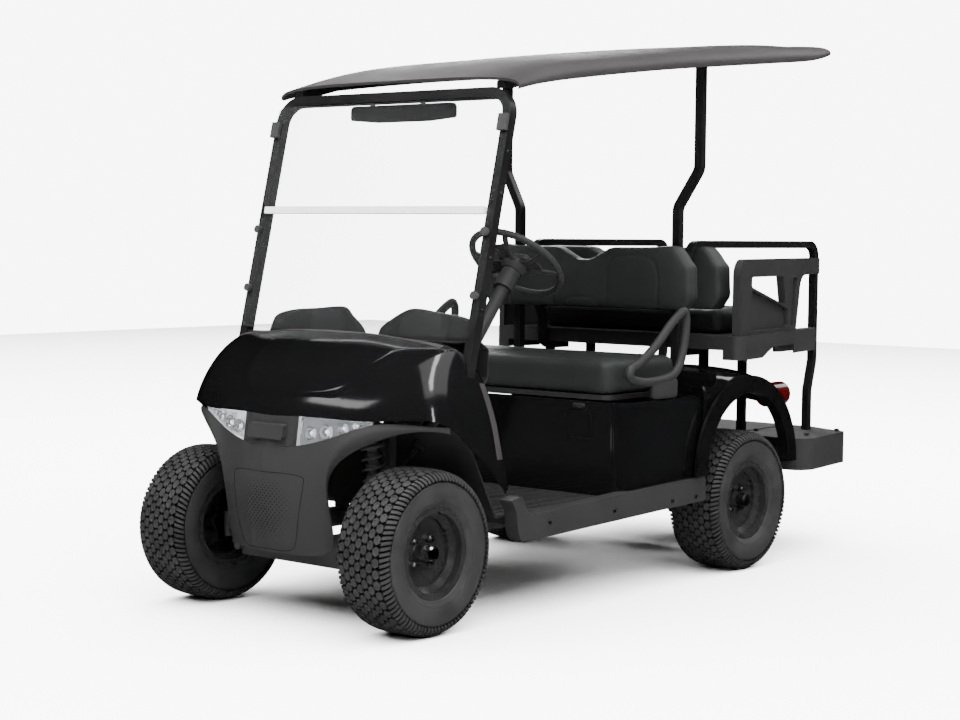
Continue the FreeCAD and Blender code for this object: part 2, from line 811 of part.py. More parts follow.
RAKE = math.radians(size("steering_rake"))
AXIS = Vector(0, math.sin(RAKE), math.cos(RAKE))
CENTRE = Vector(size("wheel_centre_x"), size("wheel_centre_y"), size("wheel_centre_z"))
COLUMN_RADIUS = 22
COLUMN_REACH = 760
column_room = Part.makeCylinder(COLUMN_RADIUS + size("seat_gap"), COLUMN_REACH + 200,
                                CENTRE - AXIS * (COLUMN_REACH + 100), AXIS)
shaped("floor_pan", make_floor().cut(column_room))


ROCKER_CREST = ((84, 352), (566, 366))


def make_rocker(sign):
    """Sill moulding: a channel along the floor that sweeps up in front to meet the cowl."""
    outer = size("rocker_half_width")
    gauge = size("rocker_gauge")
    line = [(-476, 250), (566, 281), ROCKER_CREST[1], ROCKER_CREST[0], (-430, 331), (-474, 396),
            (-524, 386), (-500, 350), (-492, 300)]
    radii = [26, 10, 10, 0, 30, 4, 4, 0, 0]
    points = [(outer - gauge, y, z) for y, z in line]
    solid = rounded_prism(points, radii, gauge, (1, 0, 0))
    hollow_line = [(-450, 262), (552, 288), (556, 352), (84, 340), (-432, 320)]
    hollow = prism([(outer - gauge - 1, y, z) for y, z in hollow_line],
                   gauge - ROCKER_SKIN + 1, (1, 0, 0))
    solid = solid.cut(hollow)
    return solid if sign > 0 else mirrored(solid)


shaped("rockers", Part.makeCompound([make_rocker(1), make_rocker(-1)]))

battery = new_body("body_battery_pack")
sketch = outline(battery, "battery_line", "XY_Plane", [
    ("-sizes.battery_length / 2", "sizes.pod_front + 30"),
    ("sizes.battery_length / 2", "sizes.pod_front + 30"),
    ("sizes.battery_length / 2", "sizes.pod_front + 30 + sizes.battery_width"),
    ("-sizes.battery_length / 2", "sizes.pod_front + 30 + sizes.battery_width")])
pad(battery, "battery_block", sketch, "sizes.battery_height")
place_body(battery, "battery_pack", z="sizes.rail_base + sizes.rail_height + sizes.seat_gap")

# Front body.

ROUND_STEPS = 7
COWL_COLUMNS = 17


def cowl_lower():
    """The cowl's lower edge, from the nose (0) round to the sill (1), as a curve in space."""
    half = size("cowl_half_width")
    nose = size("cowl_nose")
    level = size("cowl_nose_level")
    points = [(0, nose, level), (0.36 * half, nose + 20, level + 3),
              (0.67 * half, nose + 70, level), (half - 6, -806, level - 10),
              (half, -715, 572), (half, -645, 518), (half, -585, 463), (half - 4, -528, 408)]
    return points


def cowl_upper():
    """The cowl's upper and rear edge, level with the dash and then down to the sill."""
    half = size("cowl_half_width")
    ridge = size("cowl_ridge")
    level = size("cowl_ridge_level")
    points = [(0, ridge, level), (0.30 * half, ridge + 8, level - 4),
              (0.60 * half, ridge + 30, level - 18), (0.86 * half, -684, level - 44),
              (half - 40, -600, 760), (half - 18, -560, 630), (half - 9, -540, 530),
              (half - 7, -512, 424)]
    return points


def curve_points(points, count):
    """Evenly spaced points along a smooth curve through a few given ones."""
    curve = Part.BSplineCurve()
    curve.interpolate([Vector(*point) for point in points])
    first, last = curve.FirstParameter, curve.LastParameter
    return [curve.value(between(first, last, number / (count - 1))) for number in range(count)]


def both_sides(points):
    """A centre-to-left run of points continued to the right-hand side by symmetry."""
    right = [Vector(-point.x, point.y, point.z) for point in points[1:]]
    return list(reversed(right)) + list(points)


def quarter_round(lower, upper, steps, flat=0.35):
    """Rows from the lower edge to the upper one: quarter ellipses drawn part of the way flat."""
    rows = []
    for number in range(steps):
        share = number / (steps - 1)
        angle = math.radians(90 * share)
        out = between(1 - math.cos(angle), share, flat)
        up = between(math.sin(angle), share, flat)
        rows.append([Vector(between(a.x, b.x, out), between(a.y, b.y, out),
                            between(a.z, b.z, up)) for a, b in zip(lower, upper)])
    return rows


def strut_path(across):
    """One bent square tube: up from its foot, across under the roof's brow and down again."""
    x = size("strut_half_track")
    half = size("strut_size") / 2 / math.cos(math.radians(size("strut_lean")))
    head = size("strut_top_level") - 17
    foot = size("strut_foot_level")
    points = [(sign * x, strut_face(z) + half, z)
              for sign, z in ((1, foot), (1, head), (-1, head), (-1, foot))]
    return tube(points, size("strut_corner"), across)


def smooth(points):
    """A smooth curve through a few points."""
    curve = Part.BSplineCurve()
    curve.interpolate([Vector(*point) for point in points])
    return curve


def at_x(curve, x):
    """The point of a left-going curve that lies at a distance from the centre plane."""
    low, high = curve.FirstParameter, curve.LastParameter
    for _ in range(40):
        middle = (low + high) / 2
        if curve.value(middle).x < x:
            low = middle
        else:
            high = middle
    return curve.value(low)


def band_foot():
    """The lamp band's lower edge, from the nose out to the fascia's wing."""
    half = size("cowl_half_width")
    nose = size("cowl_nose")
    level = size("cowl_nose_level")
    drop = size("lamp_bar_drop")
    return [(0, nose - 24, level - drop), (0.21 * half, nose - 4, level - drop + 6),
            (0.45 * half, nose + 30, level - 50), (0.66 * half, nose + 72, level - 10),
            (0.84 * half, -868, level - 8), (half - 6, -796, level - 16)]


COWL_FOOT = smooth(cowl_lower())
BAND_FOOT = smooth(band_foot())


def make_cowl():
    """The rounded nose: quarter ellipses between its two edges, with room for the struts."""
    low = both_sides(curve_points(cowl_lower(), COWL_COLUMNS))
    high = both_sides(curve_points(cowl_upper(), COWL_COLUMNS))
    solid = wall(quarter_round(low, high, ROUND_STEPS), -size("shell_gauge"))
    cut = solid.cut(strut_path(size("strut_size") + 2))
    return max(cut.Solids, key=lambda piece: piece.Volume)


cowl_solid = make_cowl()
shaped("front_cowl", cowl_solid)


def fascia_rows():
    """Rows from the fascia's floor and wheel-arch edge up to the lamps' and cowl's lower edge."""
    half = size("cowl_half_width")
    nose = size("cowl_nose")
    level = size("cowl_nose_level")
    foot = size("fascia_floor")
    wide = size("fascia_half_width")
    gap = Vector(0, 0, size("seat_gap"))
    low = [(0, nose - 6, foot), (0.57 * wide, nose + 4, foot + 2), (wide, nose + 40, foot + 16),
           (wide + 16, nose + 24, foot + 236), (0.62 * half, nose + 66, level - 74),
           (half - 8, -790, level - 36)]
    lower = curve_points(low, COWL_COLUMNS)
    upper = []
    for number in range(COWL_COLUMNS):
        x = (half - 6) * number / (COWL_COLUMNS - 1)
        band, cowl = at_x(BAND_FOOT, x), at_x(COWL_FOOT, x)
        upper.append((band if band.z < cowl.z else cowl) - gap)
    rows = []
    for number in range(ROUND_STEPS):
        share = number / (ROUND_STEPS - 1)
        swell = 26 * math.sin(math.pi * share)
        rows.append([Vector(between(a.x, b.x, share), between(a.y, b.y, share)
                            - swell * (1 - (a.x / half) ** 2), between(a.z, b.z, share))
                     for a, b in zip(both_sides(lower), both_sides(upper))])
    return rows


fascia_solid = wall(fascia_rows(), -size("shell_gauge"))
shaped("front_fascia", fascia_solid)

LAMP_INNER = 117
LAMP_OUTER = 364


def band_rows(stations):
    """Rows of the lamp band between the fascia's and the cowl's edges at some stations."""
    gap = Vector(0, 0, size("seat_gap"))
    rows = []
    for number in range(4):
        share = number / 3
        line = []
        for x in stations:
            low = at_x(BAND_FOOT, abs(x))
            high = at_x(COWL_FOOT, abs(x)) - gap
            line.append(Vector(x, between(low.y, high.y, share), between(low.z, high.z, share)))
        rows.append(line)
    return rows


def make_lamp_bar():
    """The dark band between cowl and fascia, with a plain raised plate in its middle."""
    nose = size("cowl_nose")
    level = size("cowl_nose_level")
    reach = LAMP_INNER - size("seat_gap")
    band = wall(band_rows([reach * (number - 4) / 4 for number in range(9)]), -24)
    plate = rounded_prism([(-78, nose - 30, level - 70), (78, nose - 30, level - 70),
                           (74, nose - 20, level - 26), (-74, nose - 20, level - 26)],
                          7, 30, (0, 1, 0.16))
    return fused([band, plate]).cut(cowl_solid).cut(fascia_solid)


lamp_bar_solid = make_lamp_bar()
shaped("lamp_bar", lamp_bar_solid)


def make_headlamps():
    """Two lens blocks that wrap round the nose, tapering to a point at the outer end."""
    count = 9
    stations = [between(LAMP_INNER, LAMP_OUTER, number / (count - 1)) for number in range(count)]
    lamp = wall(band_rows(stations), -22)
    for neighbour in (lamp_bar_solid, cowl_solid, fascia_solid):
        lamp = max(lamp.cut(neighbour).Solids, key=lambda piece: piece.Volume)
    return Part.makeCompound([lamp, mirrored(lamp)])


shaped("headlamps", make_headlamps())


def make_dash():
    """Dash moulding: a thin shelf behind the cowl's ridge with a tray and a knee face."""
    gauge = size("shell_gauge")
    half = size("cowl_half_width") - 92
    ridge = size("cowl_ridge") + 14
    level = size("cowl_ridge_level")
    lip = STRUT_FOOT + size("seat_gap")
    face = [(ridge, level - 18), (-548, level - 26), (-512, level - 50), (-516, level - 140),
            (-606, level - 262), (lip, level - 240)]
    back = [(lip, level - 240 + gauge), (-608 - gauge, level - 257), (-520, level - 138),
            (-516, level - 52), (-550, level - 30), (ridge, level - 18 - gauge)]
    shelf = prism([(-half, y, z) for y, z in face + back], 2 * half, (1, 0, 0))
    low = (-330, -690, level - 92)
    high = (-60, -560, level - 17)
    pocket = box(low, high)
    inside = box((low[0] + 4, low[1] + 4, low[2] + 4), (high[0] - 4, high[1] - 4, level + 50))
    plan = [(-160, ridge + 2), (160, ridge + 2), (330, ridge + 26), (half, -668), (half, -480),
            (-half, -480), (-half, -668), (-330, ridge + 26)]
    shadow = prism([(x, y, 500) for x, y in plan], 500, (0, 0, 1))
    shelf = shelf.fuse(pocket).cut(inside).cut(column_room).common(shadow)
    return shelf.cut(strut_path(size("strut_size") + 2)).removeSplitter()


shaped("dash", make_dash())

# Seat pod and tail.

pod = new_body("body_seat_pod")
pod_corners = [("-sizes.pod_half_width", "sizes.pod_front"),
               ("sizes.pod_half_width", "sizes.pod_front"),
               ("sizes.pod_half_width", "sizes.pod_rear"),
               ("-sizes.pod_half_width", "sizes.pod_rear")]
POD_BASE = "(sizes.rail_base + sizes.rail_height + 20 + sizes.seat_gap)"
sketch = outline(pod, "pod_line", "XY_Plane", pod_corners, POD_BASE)
pad(pod, "pod_block", sketch, f"sizes.pod_top - {POD_BASE}")
doc.recompute()
corner_edges = []
for number, edge in enumerate(doc.getObject("pod_block").Shape.Edges, start=1):
    ends = [vertex.Point for vertex in edge.Vertexes]
    if abs(ends[0].z - ends[1].z) > 100 and ends[0].y < 200:
        corner_edges.append(f"Edge{number}")
rounding = pod.newObject("PartDesign::Fillet", "pod_corners")
rounding.Base = (doc.getObject("pod_block"), corner_edges)
rounding.setExpression("Radius", "sizes.pod_corner")
inner_corners = [("-sizes.pod_half_width + sizes.shell_gauge + 12",
                  "sizes.pod_front + sizes.shell_gauge + sizes.pod_corner"),
                 ("-sizes.pod_half_width + sizes.shell_gauge + sizes.pod_corner",
                  "sizes.pod_front + sizes.shell_gauge + 12"),
                 ("sizes.pod_half_width - sizes.shell_gauge - sizes.pod_corner",
                  "sizes.pod_front + sizes.shell_gauge + 12"),
                 ("sizes.pod_half_width - sizes.shell_gauge - 12",
                  "sizes.pod_front + sizes.shell_gauge + sizes.pod_corner"),
                 ("sizes.pod_half_width - sizes.shell_gauge - 12",
                  "sizes.pod_rear + 10"),
                 ("-sizes.pod_half_width + sizes.shell_gauge + 12",
                  "sizes.pod_rear + 10")]
sketch = outline(pod, "pod_hollow_line", "XY_Plane", inner_corners, "sizes.pod_top + 1")
pad(pod, "pod_hollow", sketch, "sizes.pod_top", kind="PartDesign::Pocket")
sketch = ring(pod, "pod_arch_line", "YZ_Plane", "sizes.arch_radius",
              ("sizes.arch_station", "sizes.arch_level"))
pad(pod, "pod_arch", sketch, "sizes.pod_half_width * 3", True, "PartDesign::Pocket")
sketch = outline(pod, "pod_leg_line", "YZ_Plane", [
    ("sizes.arch_station - sizes.arch_radius", "sizes.rail_base"),
    ("sizes.pod_rear + 20", "sizes.rail_base"), ("sizes.pod_rear + 20", "sizes.arch_level"),
    ("sizes.arch_station - sizes.arch_radius", "sizes.arch_level")])
pad(pod, "pod_leg", sketch, "sizes.pod_half_width * 3", True, "PartDesign::Pocket")
# The pod's sides stop just above the rockers, which reach in under them.
SILL_ROOM = (60, 700)
ROCKER_INNER = "(sizes.rocker_half_width - sizes.rocker_gauge - sizes.seat_gap)"
(crest_front, crest_low), (crest_rear, crest_high) = ROCKER_CREST
slope = (crest_high - crest_low) / (crest_rear - crest_front)
room_front, room_rear = (str(crest_low + size("seat_gap") + slope * (y - crest_front))
                         for y in SILL_ROOM)
for side_name, reverse in (("left", True), ("right", False)):
    shift = ROCKER_INNER if reverse else f"-{ROCKER_INNER}"
    sketch = outline(pod, f"pod_sill_line_{side_name}", "YZ_Plane", [
        (str(SILL_ROOM[0]), "sizes.rail_base"), (str(SILL_ROOM[1]), "sizes.rail_base"),
        (str(SILL_ROOM[1]), room_rear), (str(SILL_ROOM[0]), room_front)], shift)
    pad(pod, f"pod_sill_{side_name}", sketch, "sizes.rocker_gauge * 2",
        kind="PartDesign::Pocket", reverse=reverse)
place_body(pod, "seat_pod")

# Each station: how far back, its width, its height, and the powers that square its corners.
TAIL_STATIONS = ((0.00, 0.990, 1.00, 0.20, 0.20), (0.22, 0.994, 0.985, 0.20, 0.20),
                 (0.45, 1.00, 0.955, 0.24, 0.26), (0.65, 0.99, 0.91, 0.30, 0.34),
                 (0.82, 0.955, 0.84, 0.36, 0.42), (0.93, 0.90, 0.74, 0.42, 0.50),
                 (1.00, 0.85, 0.58, 0.42, 0.50))


def even_points(line, count):
    """Points picked from a polyline so that they stand equally far apart along it."""
    reach = [0.0]
    for here, ahead in zip(line, line[1:]):
        reach.append(reach[-1] + here.distanceToPoint(ahead))
    picked = []
    for number in range(count):
        wanted = reach[-1] * number / (count - 1)
        index = next(place for place in range(1, len(reach)) if reach[place] >= wanted - 1e-9)
        share = (wanted - reach[index - 1]) / (reach[index] - reach[index - 1])
        picked.append(line[index - 1] + (line[index] - line[index - 1]) * share)
    return picked


def tail_rows():
    """Boxy arches across the tail, lower and narrower towards the rear: superellipses."""
    half = size("tail_half_width")
    front = size("tail_front")
    end = size("tail_end")
    floor = size("arch_level") - 5
    rows = []
    for share, wide, high, side_power, top_power in TAIL_STATIONS:
        y = between(front, end, share)
        width = half * wide
        height = (size("tail_deck_level") - floor) * high
        line = []
        for number in range(361):
            angle = math.pi * number / 360
            c, s = math.cos(angle), math.sin(angle)
            x = width * math.copysign(abs(c) ** side_power, c)
            line.append(Vector(x, y, floor + height * abs(s) ** top_power))
        rows.append(even_points(line, 37))
    return rows


LAMP_RADIUS = 46
LAMP_X = 440
LAMP_Z = 612


def lamp_room(sign):
    """The round hole that a tail lamp sits in."""
    x = sign * LAMP_X
    reach = LAMP_RADIUS + size("seat_gap")
    return rod((x, 1120, LAMP_Z), (x, 1400, LAMP_Z), reach)


def make_tail_lamps():
    """Two round tail lamps, each a drum with a stepped bezel and a domed lens."""
    solids = []
    for sign in (1, -1):
        line = [(0, 0), (LAMP_RADIUS, 0), (LAMP_RADIUS, 108), (LAMP_RADIUS - 4, 112),
                (LAMP_RADIUS - 8, 112), (LAMP_RADIUS - 9, 108), (24, 115), (0, 117)]
        spots = [Vector(r, 0, h) for r, h in line]
        face = Part.Face(Part.makePolygon(spots + [spots[0]]))
        drum = face.revolve(Vector(), Vector(0, 0, 1), 360)
        drum.Placement = FreeCAD.Placement(Vector(sign * LAMP_X, 1168, LAMP_Z),
                                           FreeCAD.Rotation(Vector(0, 0, 1), Vector(0, 1, 0)))
        solids.append(drum)
    return Part.makeCompound(solids)


shaped("tail_lamps", make_tail_lamps())


def make_tail():
    """Rear body shell with both wheel arches, a bulkhead, and holes for the posts and lamps."""
    shell = wall(tail_rows(), size("shell_gauge"))
    front = size("tail_bulkhead")
    half = size("pod_half_width") + size("seat_gap")
    gauge = size("shell_gauge")
    bulkhead = box((-half, front, size("arch_level") + 70),
                   (half, front + gauge, size("tail_deck_level") - 24))
    well = box((-half, size("tail_front") - 10, size("pod_top")),
               (half, front, size("tail_deck_level") + 50))
    shell = shell.cut(well)
    shell = shell.fuse(bulkhead)
    y, z = size("arch_station"), size("arch_level")
    radius = size("arch_radius")
    arch = rod((-700, y, z), (700, y, z), radius)
    arch = arch.fuse(box((-700, y - radius, z - 60), (700, y + radius, z)))
    inside = box((-380, y - radius - 40, z - 80), (380, y + radius + 40, z + radius + 40))
    shell = shell.cut(arch.cut(inside))
    room = size("rail_tube") / 2 + 1
    for sign in (1, -1):
        x = sign * size("post_half_track")
        for post_y in TRAY_POSTS:
            shell = shell.cut(box((x - room, post_y - room, 500), (x + room, post_y + room, 900)))
        x = sign * size("rear_strut_half_track")
        slack = size("rear_strut_size") / 2 + 1
        strut_y = size("rear_strut_station")
        shell = shell.cut(box((x - slack, strut_y - slack, 500), (x + slack, strut_y + slack, 900)))
        shell = shell.cut(lamp_room(sign))
    return shell


shaped("tail_body", make_tail())


FLARE_GAP = 3.2


def make_flares():
    """Broad bands round the rear wheel arches: half rings that lie on the tail's and pod's sides."""
    y, z = size("arch_station"), size("arch_level")
    gap = size("seat_gap")
    inner = size("arch_radius") - 15
    half = size("tail_half_width")
    low, middle, high = half - 26, half + 5, half + 14
    line = [(low, inner), (high, inner), (high, inner + 16), (middle + 4, size("flare_radius")),
            (low, size("flare_radius"))]
    face = Part.Face(Part.makePolygon([Vector(x, y, z + r) for x, r in line + line[:1]]))
    ring_solid = face.revolve(Vector(0, y, z), Vector(1, 0, 0), 360)
    band = ring_solid.cut(box((low - 1, y - 400, z - 400), (high + 1, y + 400, z)))
    pod_side = size("pod_half_width") + gap
    band = band.cut(box((-pod_side, 0, 0), (pod_side, size("tail_front"), size("pod_top") + gap)))
    side = [(half * share[1] + FLARE_GAP, between(size("tail_front"), size("tail_end"), share[0]))
            for share in TAIL_STATIONS]
    side = [(side[0][0], y - 400)] + side
    plan = prism([(x, along, 0) for x, along in side] + [(-x, along, 0) for x, along in side[::-1]],
                 1000, (0, 0, 1))
    row = tail_rows()[1]
    spread = (half + FLARE_GAP) / row[0].x
    across = prism([(spot.x * spread, y - 500, spot.z + FLARE_GAP) for spot in row]
                   + [(-half - FLARE_GAP, y - 500, 0), (half + FLARE_GAP, y - 500, 0)],
                   1000, (0, 1, 0))
    band = max(band.cut(plan.common(across)).Solids, key=lambda piece: piece.Volume)
    throat = rod((half - 26, y, z), (half + 12, y, z), size("arch_radius") - gap)
    throat = throat.cut(rod((half - 27, y, z), (half + 13, y, z), inner))
    throat = throat.cut(box((0, y - 400, z - 400), (half + 50, y + 400, z)))
    lip = max(band.fuse(throat).removeSplitter().Solids, key=lambda piece: piece.Volume)
    return Part.makeCompound([lip, mirrored(lip)])


shaped("rear_flares", make_flares())

# Struts, windshield and roof.

shaped("front_struts", strut_path(size("strut_size")))


def make_rear_struts():
    """Two square tubes, upright behind the seat, that splay outwards to the roof's rails."""
    solids = []
    y = size("rear_strut_station")
    for sign in (1, -1):
        low_x = sign * size("rear_strut_half_track")
        high_x = sign * size("rear_strut_head_half_track")
        foot = size("rail_base") + size("rail_height") + 150 + size("seat_gap")
        points = [(low_x, y, foot), (low_x, y, size("rear_strut_knee")),
                  (high_x, y + 14, size("rear_strut_shoulder")),
                  (high_x, y + 14, roof_underside(y) + 20)]
        strut = tube(points, 60, size("rear_strut_size"))
        strut = strut.cut(rail_solids.translated(Vector(0, 0, -size("seat_gap"))))
        solids.append(min(strut.Solids, key=lambda piece: piece.BoundBox.ZMin))
    return Part.makeCompound(solids)


ROOF_EDGE = ((-452, 1667), (-190, 1716), (330, 1780), (1155, 1864), (1384, 1905))
ROOF_CROWN = ((-452, 1712), (-330, 1762), (0, 1814), (500, 1877), (1100, 1937), (1384, 1950))
ROOF_POWER = 0.55


def roof_rows():
    """Crossways arches: a steep lip at each side that turns into a gently crowned panel."""
    half = size("roof_half_width")
    front = size("roof_front")
    rear = size("roof_rear")
    rows = []
    for number in range(9):
        share = number / 8
        y = between(front, rear, share)
        edge = graph(ROOF_EDGE, y)
        crown = graph(ROOF_CROWN, y)
        narrow = half * (1 - 0.07 * (1 - share) ** 3)
        line = []
        for step in range(15):
            angle = math.pi * step / 14
            c, s = math.cos(angle), math.sin(angle)
            x = narrow * math.copysign(abs(c) ** ROOF_POWER, c)
            line.append(Vector(x, y, edge + (crown - edge) * abs(s) ** ROOF_POWER))
        rows.append(line)
    return rows


def roof_underside(y):
    """Level of the roof rails' lower face at a station."""
    return graph(ROOF_CROWN, y) - 66


roof_solid = wall(roof_rows(), size("roof_gauge"))
shaped("roof", roof_solid)


def under_roof(x, y):
    """Level of the roof's inner face over a point, found with an upright line."""
    probe = Part.makeLine(Vector(x, y, 1500), Vector(x, y, 2300))
    return roof_solid.common(probe).BoundBox.ZMin


def make_roof_rails():
    """Two rails fitted to the roof's underside that rest on the strut frame in front."""
    front = size("roof_front") + 6
    rear = size("roof_rear") - 160
    seat = size("strut_top_level") - 0.6
    half = 16
    centre = size("rear_strut_head_half_track")
    gap = size("seat_gap")
    count = 17
    stations = [between(front, rear, number / (count - 1)) for number in range(count)]
    top = [Vector(centre - half, y, min(under_roof(centre - half, y), under_roof(centre + half, y))
                  - gap) for y in stations]
    low = [Vector(centre - half, front, seat), Vector(centre - half, front + 40, seat)]
    low += [Vector(centre - half, y, roof_underside(y)) for y in (-280, 0, 500, 1000, rear)]
    line = low + list(reversed(top))
    face = Part.Face(Part.makePolygon(line + [line[0]]))
    rail = face.extrude(Vector(2 * half, 0, 0))
    return Part.makeCompound([rail, mirrored(rail)])


rail_solids = make_roof_rails()
shaped("roof_rails", rail_solids)
shaped("rear_struts", make_rear_struts())


def make_pane(low, high, name):
    """A clear sheet leaning with the struts, its corners rounded."""
    half = size("pane_half_width")
    gap = size("seat_gap")
    gauge = size("pane_gauge")
    points = []
    for x, z in ((-half, low), (half, low), (half, high), (-half, high)):
        points.append((x, strut_face(z) - gap - gauge, z))
    return shaped(name, rounded_prism(points, 40, gauge, (0, 1, 0)))


make_pane(size("pane_foot_level"), size("fold_level") - 15, "windshield_lower")
make_pane(size("fold_level") + 15, size("pane_top_level"), "windshield_upper")


def on_pane(x, z, lift):
    """A point off the panes' front: across, up, and out along the panes' normal."""
    lean = math.radians(size("strut_lean"))
    face = strut_face(z) - size("seat_gap") - size("pane_gauge")
    return Vector(x, face - lift * math.cos(lean), z + lift * math.sin(lean))


def leaning_block(x_low, x_high, z_low, z_high, lift, gauge):
    """A block that lies on the panes' plane, lifted off their front by a gap."""
    corners = [on_pane(x, z, lift) for x, z in ((x_low, z_low), (x_high, z_low),
                                                (x_high, z_high), (x_low, z_high))]
    out = on_pane(0, 0, lift + gauge) - on_pane(0, 0, lift)
    face = Part.Face(Part.makePolygon(corners + [corners[0]]))
    return face.extrude(out)


def make_fittings():
    """Windshield fittings: the fold bar on the struts, two top clips and four round knobs."""
    gap = size("seat_gap")
    z = size("fold_level")
    behind = size("pane_gauge") * math.cos(math.radians(size("strut_lean")))
    solids = [leaning_block(-486, 486, z - 11, z + 11, -behind, 14)]
    for sign in (1, -1):
        x = sign * size("strut_half_track")
        low_x, high_x = sorted((x - sign * 18, x + sign * 19))
        solids.append(leaning_block(low_x, high_x, 1534, 1586, gap, 12))
        for knob_z in (1220, 1023):
            foot = on_pane(x, knob_z, gap)
            head = on_pane(x, knob_z, gap + 15)
            solids.append(Part.makeCylinder(13, 15, foot, head - foot))
    return Part.makeCompound(solids)


shaped("windshield_fittings", make_fittings())


def make_mirror():
    """A wide bowed mirror in a plain frame, hung from the cross tube by two arms."""
    z = 1612
    y = -418
    half = 229
    points = [(-half, y, z - 24), (-half * 0.5, y, z - 33), (half * 0.5, y, z - 33),
              (half, y, z - 24), (half, y, z + 24), (-half, y, z + 24)]
    frame = rounded_prism(points, [10, 0, 0, 10, 16, 16], 16, (0, 1, 0))
    depth = size("strut_size") / math.cos(math.radians(size("strut_lean")))
    low, high = z + 26, z + 48
    arms = []
    for x in (-132, 92):
        line = [(strut_face(level) + depth + size("seat_gap"), level) for level in (low, high)]
        line += [(y + 8, high), (y + 8, z), (y + 1, z), (y + 1, low)]
        arms.append(prism([(x - 9, across, level) for across, level in line], 18, (1, 0, 0)))
    return fused([frame] + arms)


shaped("mirror", make_mirror())

# Seats.


def make_cushion(name, half, front, rear, base, height, dish):
    """A plain seat cushion: a rounded block with its top edges softened."""
    block = box((-half, front, base), (half, rear, base + height))
    upright = [edge for edge in block.Edges
               if abs(edge.Vertexes[0].Z - edge.Vertexes[-1].Z) > height / 2]
    block = block.makeFillet(46, upright)
    top = [edge for edge in block.Edges
           if edge.BoundBox.ZMin > base + height - 1]
    return shaped(name, block.makeFillet(dish, top))


CUSHION_BASE = size("cushion_base") + 8
make_cushion("seat_cushion", size("cushion_half_width"), size("cushion_front"),
             size("cushion_rear"), CUSHION_BASE + size("seat_gap"),
             size("cushion_height"), 26)


HINGE_RADIUS = 7
HINGE_X = 300


def make_seat_pan():
    """The seat cushion's moulded pan, with two hinge barrels at its rear edge."""
    half = size("cushion_half_width") - 6
    low = size("cushion_base") - 8
    rear = size("seat_hinge_station")
    plate = box((-half, size("cushion_front") + 8, low), (half, rear - 10, CUSHION_BASE))
    upright = [edge for edge in plate.Edges
               if abs(edge.Vertexes[0].Z - edge.Vertexes[-1].Z) > 8]
    pieces = [plate.makeFillet(40, upright)]
    for sign in (1, -1):
        x_low, x_high = sorted((sign * HINGE_X, sign * (HINGE_X + 40)))
        level = size("cushion_base")
        pieces.append(rod((x_low, rear, level), (x_high, rear, level), HINGE_RADIUS))
        pieces.append(box((x_low, rear - 14, level - 4), (x_high, rear, level + 4)))
    return fused(pieces)


shaped("seat_pan", make_seat_pan())


def make_seat_hinges():
    """The fixed halves of the seat's hinges: barrels on tabs of a bar across the pod."""
    rear = size("seat_hinge_station")
    level = size("cushion_base")
    gap = size("seat_gap")
    reach = size("pod_half_width") - size("shell_gauge") - 12 - gap
    bar = rear + 20
    pieces = [box((-reach, bar, level - 60), (reach, bar + 12, level - 16))]
    for sign in (1, -1):
        for start in (sign * (HINGE_X + 40 + gap), sign * (HINGE_X - 30 - gap)):
            x_low, x_high = sorted((start, start + sign * 30))
            pieces.append(rod((x_low, rear, level), (x_high, rear, level), HINGE_RADIUS))
            pieces.append(box((x_low, rear - 6, level - 24), (x_high, bar + 1, level - 5)))
    return fused(pieces)


shaped("seat_hinges", make_seat_hinges())

def make_seat_back(near, depth):
    """A seat back with two humps and a dip between them, in the vehicle's cross plane."""
    half = size("back_half_width")
    low = size("back_base")
    high = size("back_top")
    outline_points = [(-0.92 * half, near, low), (0.92 * half, near, low),
                      (half, near, between(low, high, 0.22)),
                      (0.99 * half, near, between(low, high, 0.66)),
                      (0.86 * half, near, high), (0.26 * half, near, high),
                      (0.06 * half, near, high - 46), (-0.06 * half, near, high - 46),
                      (-0.26 * half, near, high), (-0.86 * half, near, high),
                      (-0.99 * half, near, between(low, high, 0.66)),
                      (-half, near, between(low, high, 0.22))]
    radii = [24, 24, 30, 30, 48, 36, 20, 20, 36, 48, 30, 30]
    return rounded_prism(outline_points, radii, depth, (0, 1, 0))


STEP_TOP = size("step_level") + 10


def make_grab_rail(sign, across):
    """One bent tube a side: up behind the seat backs, back over the arm and down to the step."""
    x = sign * size("grab_half_track")
    low_x = sign * (size("grab_half_track") - 46)
    rear = size("grab_rear")
    front = size("grab_front")
    half = size("rail_tube") / 2
    top = size("grab_top") - half
    base = size("tray_middle_base") - size("seat_gap") - half
    foot = STEP_TOP + size("seat_gap")
    points = [(low_x, front + 150, base), (low_x, front, base), (low_x, front, 900),
              (x, front, 1000), (x, front, top), (x, rear, top), (x, rear, 720),
              (x, rear - 34, 600), (x, rear - 34, foot)]
    return tube(points, size("grab_corner") - 14, across)


shaped("seat_back_front", make_seat_back(size("back_station"), size("back_depth")))
rear_back = make_seat_back(size("rear_back_station"), size("back_depth") + 20)
for _, sign in SIDES:
    rear_back = rear_back.cut(make_grab_rail(sign, size("rail_tube") + 2))
shaped("seat_back_rear", rear_back)


def make_back_carrier():
    """Plates and blocks that hold the front seat back and the rails' legs to the rear struts."""
    gap = size("seat_gap")
    strut = size("rear_strut_size") / 2
    station = size("rear_strut_station")
    front = size("back_station") + size("back_depth") + gap
    leg = size("grab_front") - size("rail_tube") / 2 - gap
    bars = []
    for sign in (1, -1):
        x = sign * size("rear_strut_half_track")
        bars.append(box((x - 15, front, 964), (x + 15, station - strut - gap, 1150)))
        for z in (1040, 1130):
            bars.append(box((x - 12, station + strut + gap, z), (x + 12, leg, z + 24)))
    return Part.makeCompound(bars)


shaped("back_brackets", make_back_carrier())


